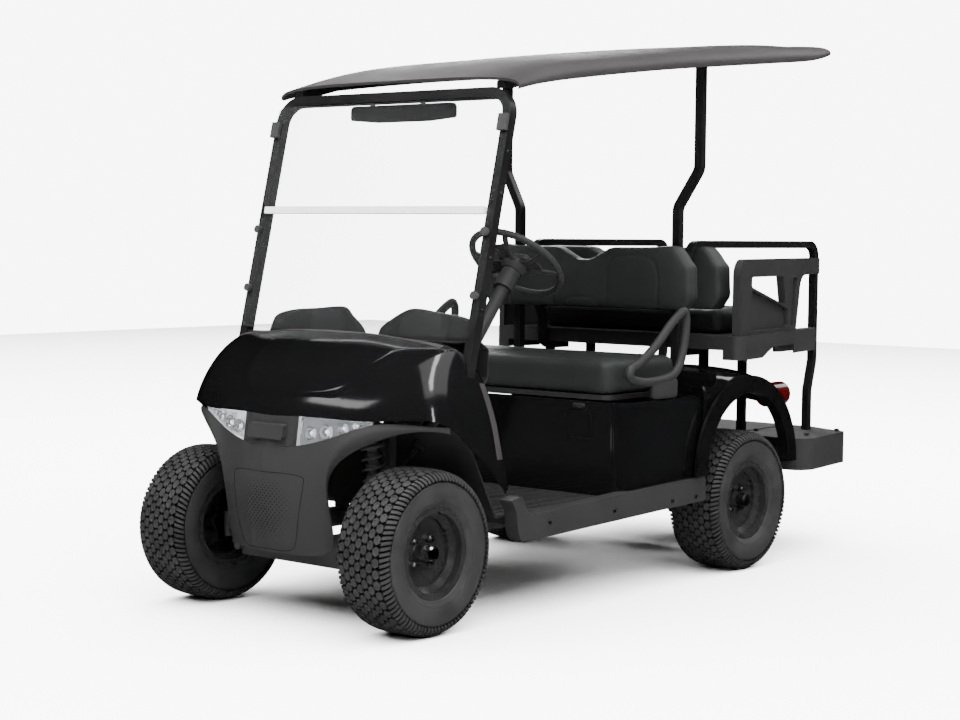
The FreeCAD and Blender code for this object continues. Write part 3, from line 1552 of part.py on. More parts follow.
def make_hip_restraint(sign):
    """A moulded armrest: a leaning triangle with a rounded opening, bolted beside the seat."""
    gauge = 30
    x = size("pod_half_width") - 8 - gauge
    top = size("pod_top") + size("seat_gap")
    line = [(124, 742), (140, 708), (190, 694), (300, 698), (390, 712), (446, 744), (482, 800),
            (499, 866), (502, 930), (490, 970), (448, 968), (398, 936), (341, 884), (270, 824),
            (216, 792), (165, 776), (132, 766)]
    hole = [(300, 776), (356, 770), (408, 794), (437, 834), (438, 902), (410, 914), (370, 862),
            (330, 812)]
    outer = smooth_prism([(x, y, z) for y, z in line], gauge)
    window = smooth_prism([(x - 1, y, z) for y, z in hole], gauge + 2)
    foot = prism([(x, y, z) for y, z in ((260, top), (440, top), (420, 722), (280, 704))],
                 gauge, (1, 0, 0))
    solid = outer.fuse(foot).cut(window).removeSplitter()
    return solid if sign > 0 else mirrored(solid)


shaped("hip_restraints", Part.makeCompound([make_hip_restraint(1), make_hip_restraint(-1)]))


def tray_plan(inset, low):
    """The tray's outline from above, drawn in by an inset: two horns that taper to the posts."""
    half = size("tray_half_width")
    front = size("tray_front")
    end = size("tray_end")
    end_half = size("tray_end_half_width")
    seat_rear = size("tray_seat_rear")
    knee = half - (half - end_half) * (seat_rear - front) / (end - front - 60)
    right = [(half - inset, front + inset), (half - inset, front + 60),
             (end_half - inset, end - inset), (end_half - 44 + inset, end - inset),
             (knee - 66 + inset, seat_rear - inset)]
    plan = right + [(-x, y) for x, y in reversed(right)]
    return [(x, y, low) for x, y in plan]


def make_rear_tray():
    """The rear seat's moulded tray: a hollow slab with a deeper skirt along both sides."""
    gauge = size("shell_gauge")
    low = size("tray_base")
    top = size("tray_top")
    radii = [30, 30, 8, 8, 40, 40, 8, 8, 30, 30]
    solid = rounded_prism(tray_plan(0, low), radii, top - low, (0, 0, 1))
    inner_radii = [26, 26, 4, 4, 40, 40, 4, 4, 26, 26]
    solid = solid.cut(rounded_prism(tray_plan(gauge, low - 1), inner_radii, top - low - gauge + 1,
                                    (0, 0, 1)))
    inner = size("tray_half_width") - 66
    front = size("tray_front")
    lift = box((-inner, front - 10, low - 2),
               (inner, size("tray_seat_rear") + 10, size("tray_middle_base")))
    rise = [(0.37, -5), (0.46, 10), (0.58, 30), (0.69, 38), (0.80, 29), (0.92, 8), (0.98, -5),
            (0.68, -60)]
    reach = size("tray_seat_rear") - front
    arch = smooth_prism([(-inner - 100, front + share * reach, low + up) for share, up in rise],
                        2 * inner + 200)
    solid = solid.cut(arch.cut(box((-inner + 0.5, front, low - 70), (inner - 0.5, 1400, top))))
    room = size("rail_tube") / 2 + 1
    for sign in (1, -1):
        x = sign * size("grab_half_track")
        y = size("grab_rear")
        solid = solid.cut(box((x - room, y - room, low - 5), (x + room, y + room, top + 5)))
        x = sign * (size("grab_half_track") - 46)
        solid = solid.cut(box((x - room, front - 5, low), (x + room, front + 20, low + 62)))
    return solid.cut(lift)


shaped("rear_tray", make_rear_tray())
shaped("grab_rails", Part.makeCompound([make_grab_rail(sign, size("rail_tube"))
                                        for _, sign in SIDES]))


def make_tray_frame():
    """Four posts from the chassis to two bars under the tray, tied by cross-bars."""
    half = size("rail_tube") / 2
    x = size("post_half_track")
    foot = size("rail_base") + size("rail_height") + 150 + size("seat_gap")
    top = size("tray_top") - size("shell_gauge") - size("seat_gap")
    pieces = []
    for sign in (1, -1):
        centre = sign * x
        pieces.append(box((centre - half, size("tray_front") + 34, top - 28),
                          (centre + half, size("tray_seat_rear") - 40, top)))
        for y in TRAY_POSTS:
            pieces.append(box((centre - half, y - half, foot), (centre + half, y + half, top)))
    for y in TRAY_POSTS:
        pieces.append(box((-x, y - half, top - 28), (x, y + half, top)))
    return fused(pieces)


shaped("tray_frame", make_tray_frame())


def make_rear_arm(sign):
    """A moulded arm on the tray's rim: front leg, top band back to the post, twin rear legs."""
    half = size("tray_half_width")
    front = size("tray_front")
    top = size("arm_top")
    width = size("arm_width")
    base = size("tray_top") + size("seat_gap")
    band = top - 62
    line = [(0, base), (0, top), (862, top), (862, band), (650, band - 4), (598, base)]
    arm = rounded_prism([(0, y, z) for y, z in line], [0, 62, 6, 6, 60, 0], width, (1, 0, 0))
    opening = [(118, band - 4), (118, band - 40), (480, 950), (446, band - 4)]
    slot = [(560, band - 10), (532, base + 14), (572, base + 14), (608, band - 10)]
    for cutter in (opening, slot):
        arm = arm.cut(rounded_prism([(-1, y, z) for y, z in cutter], 10, width + 2, (1, 0, 0)))
    recess = [(118, band - 50), (118, base + 14), (502, base + 14), (502, 938)]
    arm = arm.cut(rounded_prism([(width - 16, y, z) for y, z in recess], 12, 20, (1, 0, 0)))
    lean = math.degrees(math.atan2(half - size("tray_end_half_width"),
                                   size("tray_end") - front))
    arm.Placement = FreeCAD.Placement(Vector(half - width - 4, front + 10, 0),
                                      FreeCAD.Rotation(Vector(0, 0, 1), lean))
    return arm if sign > 0 else mirrored(arm)


arms = []
for _, sign in SIDES:
    room = size("rail_tube") / 2 + 1
    x = sign * size("grab_half_track")
    y = size("grab_rear")
    post = box((x - room, y - room, 500), (x + room, y + room, 1300))
    arms.append(make_rear_arm(sign).cut(post))
shaped("rear_arms", Part.makeCompound(arms))

make_cushion("rear_cushion", 424, size("rear_back_station") + size("back_depth") + 28,
             size("tray_seat_rear") - 30, size("tray_top") + size("seat_gap"),
             size("rear_cushion_height"), 22)


def make_step():
    """Rear foot platform: a hollow tread narrowing rearwards, with an arched side skirt."""
    half = size("step_half_width")
    front = size("step_front")
    rear = size("step_rear")
    level = size("step_level")
    skirt = size("step_skirt")
    plan = [(-half, front, level - skirt), (half, front, level - skirt),
            (half - 54, rear - 86, level - skirt), (0.55 * half, rear, level - skirt),
            (-0.55 * half, rear, level - skirt), (-half + 54, rear - 86, level - skirt)]
    solid = rounded_prism(plan, [70, 70, 24, 60, 60, 24], skirt + 10, (0, 0, 1))
    gauge = 6
    inner = [(-half + gauge, front + gauge, level - skirt - 1),
             (half - gauge, front + gauge, level - skirt - 1),
             (half - 54 - gauge, rear - 86, level - skirt - 1),
             (0.55 * half, rear - gauge, level - skirt - 1),
             (-0.55 * half, rear - gauge, level - skirt - 1),
             (-half + 54 + gauge, rear - 86, level - skirt - 1)]
    solid = solid.cut(rounded_prism(inner, [64, 64, 20, 54, 54, 20], skirt + 5, (0, 0, 1)))
    tread = rounded_prism([(-225, front + 40, level + 9), (225, front + 40, level + 9),
                           (225, rear - 40, level + 9), (-225, rear - 40, level + 9)],
                          24, 4, (0, 0, 1))
    solid = solid.fuse(tread).removeSplitter()
    for x in (-480, -250, 250, 480):
        for y in (front + 150, rear - 96):
            solid = solid.cut(rod((x, y, level - 20), (x, y, level + 30), 6.5))
    return solid


shaped("rear_step", make_step())


def make_step_arms():
    """Two square tubes that run from the chassis rails down and under the step's tread."""
    solids = []
    across = 34
    high = size("step_level") + 4 - size("seat_gap") - across / 2
    low = size("rail_base") + 90 - size("seat_gap") - across / 2
    front = size("step_front")
    for sign in (1, -1):
        x = sign * size("rail_half_spacing")
        points = [(x, front - 81, low), (x, front + 40, low), (x, front + 110, high),
                  (x, size("step_rear") - 60, high)]
        solids.append(tube(points, 30, across))
    return Part.makeCompound(solids)


shaped("step_arms", make_step_arms())

# Controls.

def make_steering_wheel():
    """A round rim on three spokes and a hub that turns on the column."""
    rim = Part.makeTorus(size("steering_radius"), size("steering_rim"))
    pieces = [rim]
    hub = Part.makeCylinder(38, 44, Vector(0, 0, -40))
    pieces.append(hub)
    for angle in (0, 180, 270):
        spoke = Part.makeBox(size("steering_radius") - 4, 34, 9, Vector(0, -17, -18))
        spoke.rotate(Vector(), Vector(0, 0, 1), angle)
        pieces.append(spoke)
    shape = fused(pieces)
    shape.Placement = FreeCAD.Placement(CENTRE, FreeCAD.Rotation(Vector(0, 0, 1), AXIS))
    return shape


shaped("steering_wheel", make_steering_wheel())


def make_column():
    """The column from the toe board to the wheel's hub, a shroud, and the shaft to the rack."""
    top = CENTRE - AXIS * (40 + size("seat_gap"))
    foot = CENTRE - AXIS * COLUMN_REACH
    pinion = Vector(92, RACK_Y, RACK_Z + 50 + size("seat_gap"))
    above = pinion + Vector(0, 0, 30)
    elbow = Vector(150, -640, 420)
    pieces = [Part.makeCylinder(COLUMN_RADIUS, (top - foot).Length, foot, AXIS),
              Part.makeCylinder(33, 70, CENTRE - AXIS * (110 + size("seat_gap")), AXIS),
              rod(pinion, above, 8), rod(above, elbow, 8), rod(elbow, foot + AXIS * 6, 8),
              Part.makeSphere(13, elbow), Part.makeSphere(11, above)]
    return fused(pieces)


shaped("steering_column", make_column())


def make_pedals():
    """Brake and throttle pads on stems that reach back to the toe board."""
    solids = []
    slope = (640 - 520) / (size("floor_level") + 220 - size("floor_level"))
    for x, wide in ((205, 92), (385, 60)):
        pad_low, pad_high = size("floor_level") + 84, size("floor_level") + 164
        near = -520 - slope * (pad_low + 20 - size("floor_level"))
        far = -520 - slope * (pad_high - 20 - size("floor_level"))
        plate = prism([(x - wide / 2, y, z) for y, z in (
            (near + 62, pad_low), (near + 70, pad_low), (far + 62, pad_high),
            (far + 54, pad_high))], wide, (1, 0, 0))
        gap = size("seat_gap")
        stem = prism([(x - 9, y, z) for y, z in (
            (near + gap, pad_low + 20), (near + 64, pad_low + 20), (far + 60, pad_high - 20),
            (far + gap, pad_high - 20))], 18, (1, 0, 0))
        solids.append(fused([plate, stem]))
    return Part.makeCompound(solids)


shaped("pedals", make_pedals())

# Write every sub-part.


def write_parts():
    """Check each sub-part and write its file."""
    doc.recompute()
    for item in doc.Objects:
        bad = [state for state in item.State if state in ("Invalid", "Error")]
        if bad:
            raise RuntimeError(f"{item.Label}: {bad}")
    for name, item in sub_parts.items():
        shape = item.Shape
        if shape.isNull() or not shape.isValid() or not shape.Solids:
            raise RuntimeError(f"{name}: its shape is not a valid solid")
        shape.exportStep(f"parts/{name}.step")
        extent = shape.BoundBox
        print(f"{name}: {len(shape.Solids)} solids, {shape.Volume / 1e6:.2f} l,",
              f"y {extent.YMin - FRAME_SHIFT:.0f}..{extent.YMax - FRAME_SHIFT:.0f}",
              f"z {extent.ZMin:.0f}..{extent.ZMax:.0f}")


write_parts()
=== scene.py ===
"""Golf cart, dressed for viewing: every piece here sits on, or stands for, a solid of the frame.

Lengths are metres. X points to the driver's side, the front faces -Y, Z is up and the tyres
stand on z = 0. Stations along the cart are counted from the middle of its wheelbase.
"""

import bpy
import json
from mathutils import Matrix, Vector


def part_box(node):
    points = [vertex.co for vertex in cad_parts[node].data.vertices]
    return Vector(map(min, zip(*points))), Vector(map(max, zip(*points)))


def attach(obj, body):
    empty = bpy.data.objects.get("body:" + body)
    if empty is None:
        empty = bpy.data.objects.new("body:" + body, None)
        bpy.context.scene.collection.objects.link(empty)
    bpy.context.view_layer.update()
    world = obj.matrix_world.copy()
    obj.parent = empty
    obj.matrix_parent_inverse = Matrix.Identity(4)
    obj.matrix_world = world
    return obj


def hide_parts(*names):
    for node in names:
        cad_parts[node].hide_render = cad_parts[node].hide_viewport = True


bl_info = {
    "name": "Golf cart dressing",
    "version": (1, 0, 0),
    "blender": (4, 5, 0),
    "location": "View3D > Sidebar > Golf cart",
    "description": "Builds the finishes, tyres, cushions and small parts of a golf cart",
    "category": "Add Mesh",
}

import json
import math

import bpy
import numpy as np
from mathutils import Matrix, Vector
from mathutils.bvhtree import BVHTree

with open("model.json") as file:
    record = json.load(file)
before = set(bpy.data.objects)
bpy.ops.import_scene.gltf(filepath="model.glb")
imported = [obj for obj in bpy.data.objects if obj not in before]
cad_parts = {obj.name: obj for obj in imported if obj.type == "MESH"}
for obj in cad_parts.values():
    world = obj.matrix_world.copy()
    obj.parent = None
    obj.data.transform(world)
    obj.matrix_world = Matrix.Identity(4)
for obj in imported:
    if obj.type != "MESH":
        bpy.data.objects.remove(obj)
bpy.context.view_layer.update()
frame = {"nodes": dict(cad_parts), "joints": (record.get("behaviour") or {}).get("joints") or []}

NODES = frame["nodes"]


def middle(node):
    """The centre of a node's box."""
    low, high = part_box(node)
    return (low + high) / 2


MIDDLE_Y = (middle("tyre_front_left").y + middle("tyre_rear_left").y) / 2


def at(x, y, z):
    """A point by its station from the middle of the wheelbase, in the row frame."""
    return np.array((x, y + MIDDLE_Y, z), float)


SIDES = (("left", 1), ("right", -1))
WHEELS = [(end, side, sign) for end in ("front", "rear") for side, sign in SIDES]


# Mesh helpers. A form is a pair: an array of points and a list of faces.


def lattice(points, wrap_rows=False, wrap_columns=False):
    """The quads of a grid of points: each cell of four neighbours is one face."""
    rows, columns = points.shape[:2]
    index = np.arange(rows * columns).reshape(rows, columns)
    if wrap_rows:
        index = np.vstack((index, index[:1]))
    if wrap_columns:
        index = np.hstack((index, index[:, :1]))
    quads = np.stack((index[:-1, :-1], index[1:, :-1], index[1:, 1:], index[:-1, 1:]), axis=-1)
    return points.reshape(-1, 3), quads.reshape(-1, 4)


def capped(body):
    """Rings of points as a tube whose first and last rings are faces too."""
    spots, quads = lattice(body, wrap_columns=True)
    steps = body.shape[1]
    return spots, [*(tuple(face) for face in quads), tuple(range(steps - 1, -1, -1)),
                   tuple(range(len(spots) - steps, len(spots)))]


def unit(vectors):
    """Vectors, which lie in the last axis of an array, at a length of one."""
    vectors = np.array(vectors, float)
    return vectors / np.linalg.norm(vectors, axis=-1, keepdims=True)


def lengths(line):
    """How far along a line each of its points lies."""
    return np.concatenate(((0,), np.cumsum(np.linalg.norm(np.diff(line, axis=0), axis=1))))


def linked(name, data):
    """A new object in the scene for a mesh, a light or a camera."""
    item = bpy.data.objects.new(name, data)
    bpy.context.scene.collection.objects.link(item)
    return item


def joined(forms):
    """Many forms as one: points are stacked, and each face's numbers move up by those before."""
    points = []
    faces = []
    base = 0
    for spots, quads in forms:
        points.append(spots)
        faces += [tuple(int(base + i) for i in face) for face in quads]
        base += len(spots)
    return np.vstack(points), faces


def piece(name, forms, look, body="body", smooth=35.0):
    """One mesh object out of forms, finished by the name of a look, and riding on a body."""
    points, faces = joined(forms)
    mesh = bpy.data.meshes.new(name)
    mesh.from_pydata(points.tolist(), [], faces)
    mesh.update()
    mesh.validate()
    return dressed(linked(name, mesh), look, body, smooth)


def dressed(item, look, body, smooth):
    """A new piece with its finish, its body, and smooth shading below an angle."""
    item.data.materials.clear()
    item.data.materials.append(finish(look))
    item.data.shade_smooth()
    if smooth is not None:
        item.data.set_sharp_from_angle(angle=math.radians(smooth))
    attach(item, body)
    return item


def axes_about(direction):
    """A direction as a unit vector, and two more, square to it and to each other."""
    ahead = unit(direction)
    first = unit(np.cross((0, 0, 1) if abs(ahead[2]) < 0.9 else (1, 0, 0), ahead))
    return ahead, first, np.cross(ahead, first)


def turned(origin, direction, profile, steps):
    """A turned form: profile points (radius, height) swept round an axis.

    point = origin + height * axis + radius * (cos a * first + sin a * second); the profile
    starts and ends on the axis, so both poles close.
    """
    ahead, first, second = axes_about(direction)
    angles = np.linspace(0, 2 * math.pi, steps, endpoint=False)
    profile = np.array(profile, float)
    ring = np.cos(angles)[:, None] * first + np.sin(angles)[:, None] * second
    body = (np.array(origin, float) + profile[:, None, 1:2] * ahead
            + profile[:, None, 0:1] * ring[None])
    return welded(*lattice(body, wrap_columns=True))


def welded(spots, quads):
    """Points that fall on one spot become one, and faces that lose a side lose that corner."""
    keys = np.round(spots * 1e7).astype(np.int64)
    _, first, back = np.unique(keys, axis=0, return_index=True, return_inverse=True)
    back = back.reshape(-1)
    faces = []
    for face in quads:
        corners = []
        for i in face:
            number = int(back[i])
            if number not in corners:
                corners.append(number)
        if len(corners) > 2:
            faces.append(tuple(corners))
    return spots[first], faces


def drawn(points, count):
    """A smooth line through points: Catmull-Rom pieces, sampled evenly in its parameter."""
    points = np.array(points, float)
    ends = np.vstack((2 * points[0] - points[1], points, 2 * points[-1] - points[-2]))
    spots = np.linspace(0, len(points) - 1, count)
    cell = np.minimum(spots.astype(int), len(points) - 2)
    t = (spots - cell)[:, None]
    a, b, c, d = ends[cell], ends[cell + 1], ends[cell + 2], ends[cell + 3]
    return 0.5 * (2 * b + (c - a) * t + (2 * a - 5 * b + 4 * c - d) * t ** 2
                  + (3 * b - a - 3 * c + d) * t ** 3)


def rod(path, radius, steps, up, closed=False, flat=1.0):
    """A round or oval bar along a path: circles set square to the path, their width by flat.

    point = path + radius * (cos a * side * flat + sin a * over), side = up x along.
    """
    path = np.array(path, float)
    if closed:
        along = np.roll(path, -1, 0) - np.roll(path, 1, 0)
    else:
        along = np.gradient(path, axis=0)
    along = unit(along)
    side = np.cross(np.broadcast_to(np.array(up, float), along.shape), along)
    side = side / np.maximum(np.linalg.norm(side, axis=1), 1e-9)[:, None]
    over = np.cross(along, side)
    radius = np.broadcast_to(np.array(radius, float), (len(path),))[:, None, None]
    angles = np.linspace(0, 2 * math.pi, steps, endpoint=False)
    ring = (np.cos(angles)[None, :, None] * side[:, None] * flat
            + np.sin(angles)[None, :, None] * over[:, None])
    body = path[:, None] + radius * ring
    return lattice(body, wrap_rows=True, wrap_columns=True) if closed else capped(body)


def swept(path, section, ups):
    """A flat section (width, height) carried along a path, its height along each up vector."""
    path = np.array(path, float)
    ups = np.broadcast_to(np.array(ups, float), path.shape)
    along = np.gradient(path, axis=0)
    side = unit(np.cross(along, ups))
    section = np.array(section, float)
    return capped(path[:, None] + section[None, :, 0:1] * side[:, None]
                  + section[None, :, 1:2] * ups[:, None])


def pillow(centre, half, corner, rows=12, columns=20, turn=None):
    """A superellipsoid block: each sine and cosine keeps its sign and takes a power below 1."""
    def soft(values):
        """Each value's sign on its size to the power of corner."""
        return np.sign(values) * np.abs(values) ** corner
    rise = np.linspace(-math.pi / 2, math.pi / 2, rows)[:, None]
    around = np.linspace(0, 2 * math.pi, columns, endpoint=False)[None]
    spots = np.stack((soft(np.cos(rise)) * soft(np.cos(around)),
                      soft(np.cos(rise)) * soft(np.sin(around)),
                      soft(np.sin(rise)) * np.ones_like(around)), axis=-1)
    spots = spots * np.array(half, float)
    if turn is not None:
        spots = spots @ np.array(turn, float).T
    return welded(*lattice(spots + np.array(centre, float), wrap_columns=True))


def bolt_head(spot, direction, across, height):
    """A hexagon head with a chamfer, on a round washer."""
    radius = across / math.sqrt(3)
    head = turned(spot, direction, ((0, 0), (radius, 0), (radius, height * 0.75),
                                    (radius * 0.84, height), (0, height)), 6)
    plate = turned(spot, direction, ((0, -0.0004), (radius * 1.45, -0.0004),
                                     (radius * 1.45, 0.0012), (0, 0.0012)), 18)
    return [plate, head]


def button_head(spot, direction, radius):
    """A low domed screw head with a shallow socket."""
    return turned(spot, direction, ((0, -0.0004), (radius, -0.0004), (radius, radius * 0.18),
                                    (radius * 0.82, radius * 0.48), (radius * 0.5, radius * 0.6),
                                    (radius * 0.42, radius * 0.25), (0, radius * 0.2)), 16)


_trees = {}


def land(node, origin, direction):
    """Where a ray first meets a node's surface: the point and the outward normal."""
    if node not in _trees:
        mesh = NODES[node].data
        spots = [tuple(v.co) for v in mesh.vertices]
        _trees[node] = BVHTree.FromPolygons(spots, [tuple(p.vertices) for p in mesh.polygons])
    way = Vector(direction).normalized()
    spot, normal, _, _ = _trees[node].ray_cast(Vector(origin), way)
    if spot is None:
        raise LookupError(f"no surface of {node} on the ray from {tuple(origin)}")
    if normal.dot(way) > 0:
        normal = -normal
    return np.array(spot), np.array(normal)


# How deep the under side of a patch lies in the surface that the patch follows.
SKIN_SINK = 0.0015


def skin(node, starts, ways, rise, rounds=3):
    """A closed patch that follows a node's surface under a grid of rays.

    Each hit is evened out with its neighbours along and across the grid, then the top sheet is
    hit + rise * normal and the bottom one hit - SKIN_SINK * normal, stitched along all borders.
    """
    rows, columns = starts.shape[:2]
    hits = np.array([[land(node, starts[i, j], ways[i, j])[0] for j in range(columns)]
                     for i in range(rows)])
    for _ in range(rounds):
        hits[1:-1] = hits[1:-1] * 0.5 + (hits[:-2] + hits[2:]) * 0.25
        hits[:, 1:-1] = hits[:, 1:-1] * 0.5 + (hits[:, :-2] + hits[:, 2:]) * 0.25
    normals = unit(np.cross(np.gradient(hits, axis=0), np.gradient(hits, axis=1)))
    normals = normals * np.where((normals * ways).sum(axis=2) > 0, -1, 1)[..., None]
    top = hits + normals * rise[..., None]
    under = hits - normals * SKIN_SINK
    spots, quads = lattice(np.concatenate((top, under[:, ::-1]), axis=1), wrap_columns=True)
    last = (rows - 1) * 2 * columns
    ends = []
    for j in range(columns - 1):
        cell = (j, j + 1, 2 * columns - 2 - j, 2 * columns - 1 - j)
        ends.append(cell[::-1])
        ends.append(tuple(last + i for i in cell))
    return spots, [tuple(face) for face in quads] + ends


# Shader maths.


class Tone:
    """A value or colour that varies over a surface. Arithmetic on it adds Math nodes."""

    def __init__(self, paint, socket):
        self.paint = paint
        self.socket = socket

    def _maths(self, operation, first, second):
        return self.paint.node("ShaderNodeMath", {"operation": operation}, (first, second))

    def __add__(self, other):
        return self._maths("ADD", self, other)

    def __radd__(self, other):
        return self._maths("ADD", other, self)

    def __sub__(self, other):
        return self._maths("SUBTRACT", self, other)

    def __rsub__(self, other):
        return self._maths("SUBTRACT", other, self)

    def __mul__(self, other):
        return self._maths("MULTIPLY", self, other)

    def __rmul__(self, other):
        return self._maths("MULTIPLY", other, self)

    def clipped(self):
        """The value held between 0 and 1."""
        return self._maths("MINIMUM", self._maths("MAXIMUM", self, 0.0), 1.0)


class Paint:
    """One finish: its material, its shader, and one method that adds any other node."""

    def __init__(self, name, **fixed):
        self.material = bpy.data.materials.new(name)
        self.material.use_nodes = True
        self.tree = self.material.node_tree
        self.shader = self.tree.nodes["Principled BSDF"]
        for key, value in fixed.items():
            self.shader.inputs[key.replace("_", " ")].default_value = value

    def node(self, kind, settings=None, values=(), output=0):
        """Add a node: its settings first, then its sockets by number or name."""
        made = self.tree.nodes.new(kind)
        for key, value in (settings or {}).items():
            setattr(made, key, value)
        pairs = values.items() if isinstance(values, dict) else enumerate(values)
        for key, value in pairs:
            if isinstance(value, Tone):
                self.tree.links.new(value.socket, made.inputs[key])
            else:
                made.inputs[key].default_value = value
        return Tone(self, made.outputs[output])

    def place(self):
        """The point on the object, in metres."""
        return self.node("ShaderNodeTexCoord", output="Object")

    def noise(self, scale, detail, rough=0.5):
        """Fractal noise; scale is features a metre."""
        return self.node("ShaderNodeTexNoise", {}, {
            "Vector": self.place(), "Scale": scale, "Detail": detail, "Roughness": rough}, "Fac")

    def cells(self, scale, feature):
        """Distance in a field of random cells."""
        return self.node("ShaderNodeTexVoronoi", {"feature": feature}, {
            "Vector": self.place(), "Scale": scale}, "Distance")

    def ramp(self, value, low, high):
        """The value stretched so that low becomes 0 and high 1, and held between them."""
        return self.node("ShaderNodeMapRange", {}, {
            "Value": value, "From Min": low, "From Max": high, "To Min": 0.0, "To Max": 1.0})

    def blend(self, share, first, second):
        """One colour fading into another by a share."""
        return self.node("ShaderNodeMix", {"data_type": "RGBA"}, {
            0: share, 6: first if isinstance(first, Tone) else (*first, 1.0),
            7: second if isinstance(second, Tone) else (*second, 1.0)}, 2)

    def bump(self, height, depth, strength):
        """A relief whose full height is depth metres."""
        return self.node("ShaderNodeBump", {}, {
            "Strength": strength, "Distance": depth, "Height": height})

    def feed(self, name, tone):
        """Link what varies over the surface to one of the shader's sockets."""
        self.tree.links.new(tone.socket, self.shader.inputs[name])
        return self


def grey(level, warm=0.0):
    """A near-neutral colour, a little warmer or cooler."""
    return (level * (1 + warm), level, level * (1 - warm))


# What a user may change.


def colour_choice(name, description, default):
    """A colour that a user may change."""
    return bpy.props.FloatVectorProperty(name=name, description=description, default=default,
                                         subtype="COLOR", size=3, min=0, max=1)


def length_choice(name, description, default, low, high):
    """A length that a user may change."""
    return bpy.props.FloatProperty(name=name, description=description, default=default,
                                   min=low, max=high, unit="LENGTH")


class CartLooks(bpy.types.PropertyGroup):
    """Colours of the cart's finishes."""

    panel: colour_choice("Panel", "Colour of the gloss body panels", (0.0015, 0.0015, 0.0016))
    trim: colour_choice("Trim", "Colour of the grained plastic trim", (0.0085, 0.0083, 0.0085))
    seat: colour_choice("Seat", "Colour of the seat covering", (0.0088, 0.0099, 0.0096))
    roof: colour_choice("Roof", "Colour of the roof", (0.0125, 0.0115, 0.0117))
    rubber: colour_choice("Rubber", "Colour of the tyres", (0.0080, 0.0080, 0.0081))
    grain: bpy.props.FloatProperty(
        name="Grain", description="Features a metre in the plastic grain", default=900.0,
        min=100.0, max=3000.0)


class CartSizes(bpy.types.PropertyGroup):
    """Sizes of the small forms."""

    tread_depth: length_choice("Tread depth", "How far the blocks stand off the tyre",
                               0.0065, 0.001, 0.01)
    tread_blocks: bpy.props.IntProperty(
        name="Tread blocks", description="Blocks in one row round a tyre", default=46, min=24,
        max=70)
    seam_depth: length_choice("Seam depth", "How deep the sewn lines press into a cushion",
                              0.0035, 0.0, 0.01)
    swell: length_choice("Cushion swell", "How far a cushion's cover may puff out",
                         0.008, 0.0, 0.02)
    rib_pitch: length_choice("Mat rib pitch", "Distance between ribs of the floor mat",
                             0.0165, 0.008, 0.05)
    hole_pitch: length_choice("Grille pitch", "Distance between the grille's dimples in a row",
                              0.0165, 0.008, 0.04)


def looks():
    """The scene's colours."""
    return bpy.context.scene.cart_looks


def sizes():
    """The scene's sizes."""
    return bpy.context.scene.cart_sizes


# Finishes.

_finishes = {}

# How high the windshield's fold line runs.
FOLD_LEVEL = 1.286


def finish(name):
    """A finish by name, mixed once."""
    if name not in _finishes:
        _finishes[name] = RECIPES[name]()
    return _finishes[name]


def mix_gloss_panel():
    """Black gel coat: faint orange peel, a little haze and a hard clear coat."""
    paint = Paint("gloss_panel_finish", Coat_Weight=1.0, Coat_Roughness=0.09, IOR=1.5)
    haze = paint.ramp(paint.noise(2.3, 4.0), 0.35, 0.7)
    colour = tuple(looks().panel)
    paint.feed("Base Color", paint.blend(haze, colour, tuple(c * 1.35 for c in colour)))
    paint.feed("Roughness", haze * 0.05 + 0.1)
    paint.feed("Normal", paint.bump(paint.noise(190, 2.0), 0.00035, 0.12))
    return paint.material


def mix_grained(name, colour, rough, depth=0.0004, worn=1.25):
    """Moulded plastic: pebbled grain of random cells, with slow variation in tone."""
    paint = Paint(name, IOR=1.47)
    cloud = paint.ramp(paint.noise(6.0, 5.0), 0.3, 0.75)
    grain = paint.cells(looks().grain, "SMOOTH_F1")
    speck = paint.noise(looks().grain * 0.7, 3.0, 0.6)
    tint = (cloud * 0.6 + grain * 0.5).clipped()
    paint.feed("Base Color", paint.blend(tint, colour, tuple(c * worn for c in colour)))
    paint.feed("Roughness", cloud * 0.1 + speck * 0.12 + (rough - 0.1))
    paint.feed("Normal", paint.bump(grain * 0.7 + speck * 0.5, depth, 0.55))
    return paint.material


def mix_powder(name, level, rough):
    """Powder coat: a fine even ripple over satin black, dustier in random patches."""
    paint = Paint(name, IOR=1.5)
    cloud = paint.ramp(paint.noise(9.0, 4.0), 0.35, 0.75)
    ripple = paint.noise(420, 2.0)
    paint.feed("Base Color", paint.blend(cloud, grey(level), grey(level * 1.5, 0.03)))
    paint.feed("Roughness", cloud * 0.1 + ripple * 0.08 + (rough - 0.08))
    paint.feed("Normal", paint.bump(ripple, 0.00025, 0.3))
    return paint.material


def mix_fittings():
    """Windshield fittings: grey clips, and a pale strip along the line where the sheet folds."""
    paint = Paint("fittings_finish", IOR=1.47)
    level = paint.node("ShaderNodeSeparateXYZ", {}, (paint.place(),), 2) - FOLD_LEVEL
    strip = paint.ramp(level * level, 0.013 ** 2, 0.011 ** 2)
    cloud = paint.noise(30.0, 4.0)
    paint.feed("Base Color", paint.blend(strip, paint.blend(cloud, grey(0.012), grey(0.02)),
                                         paint.blend(cloud, grey(0.36), grey(0.45))))
    paint.feed("Roughness", cloud * 0.1 + 0.35)
    return paint.material


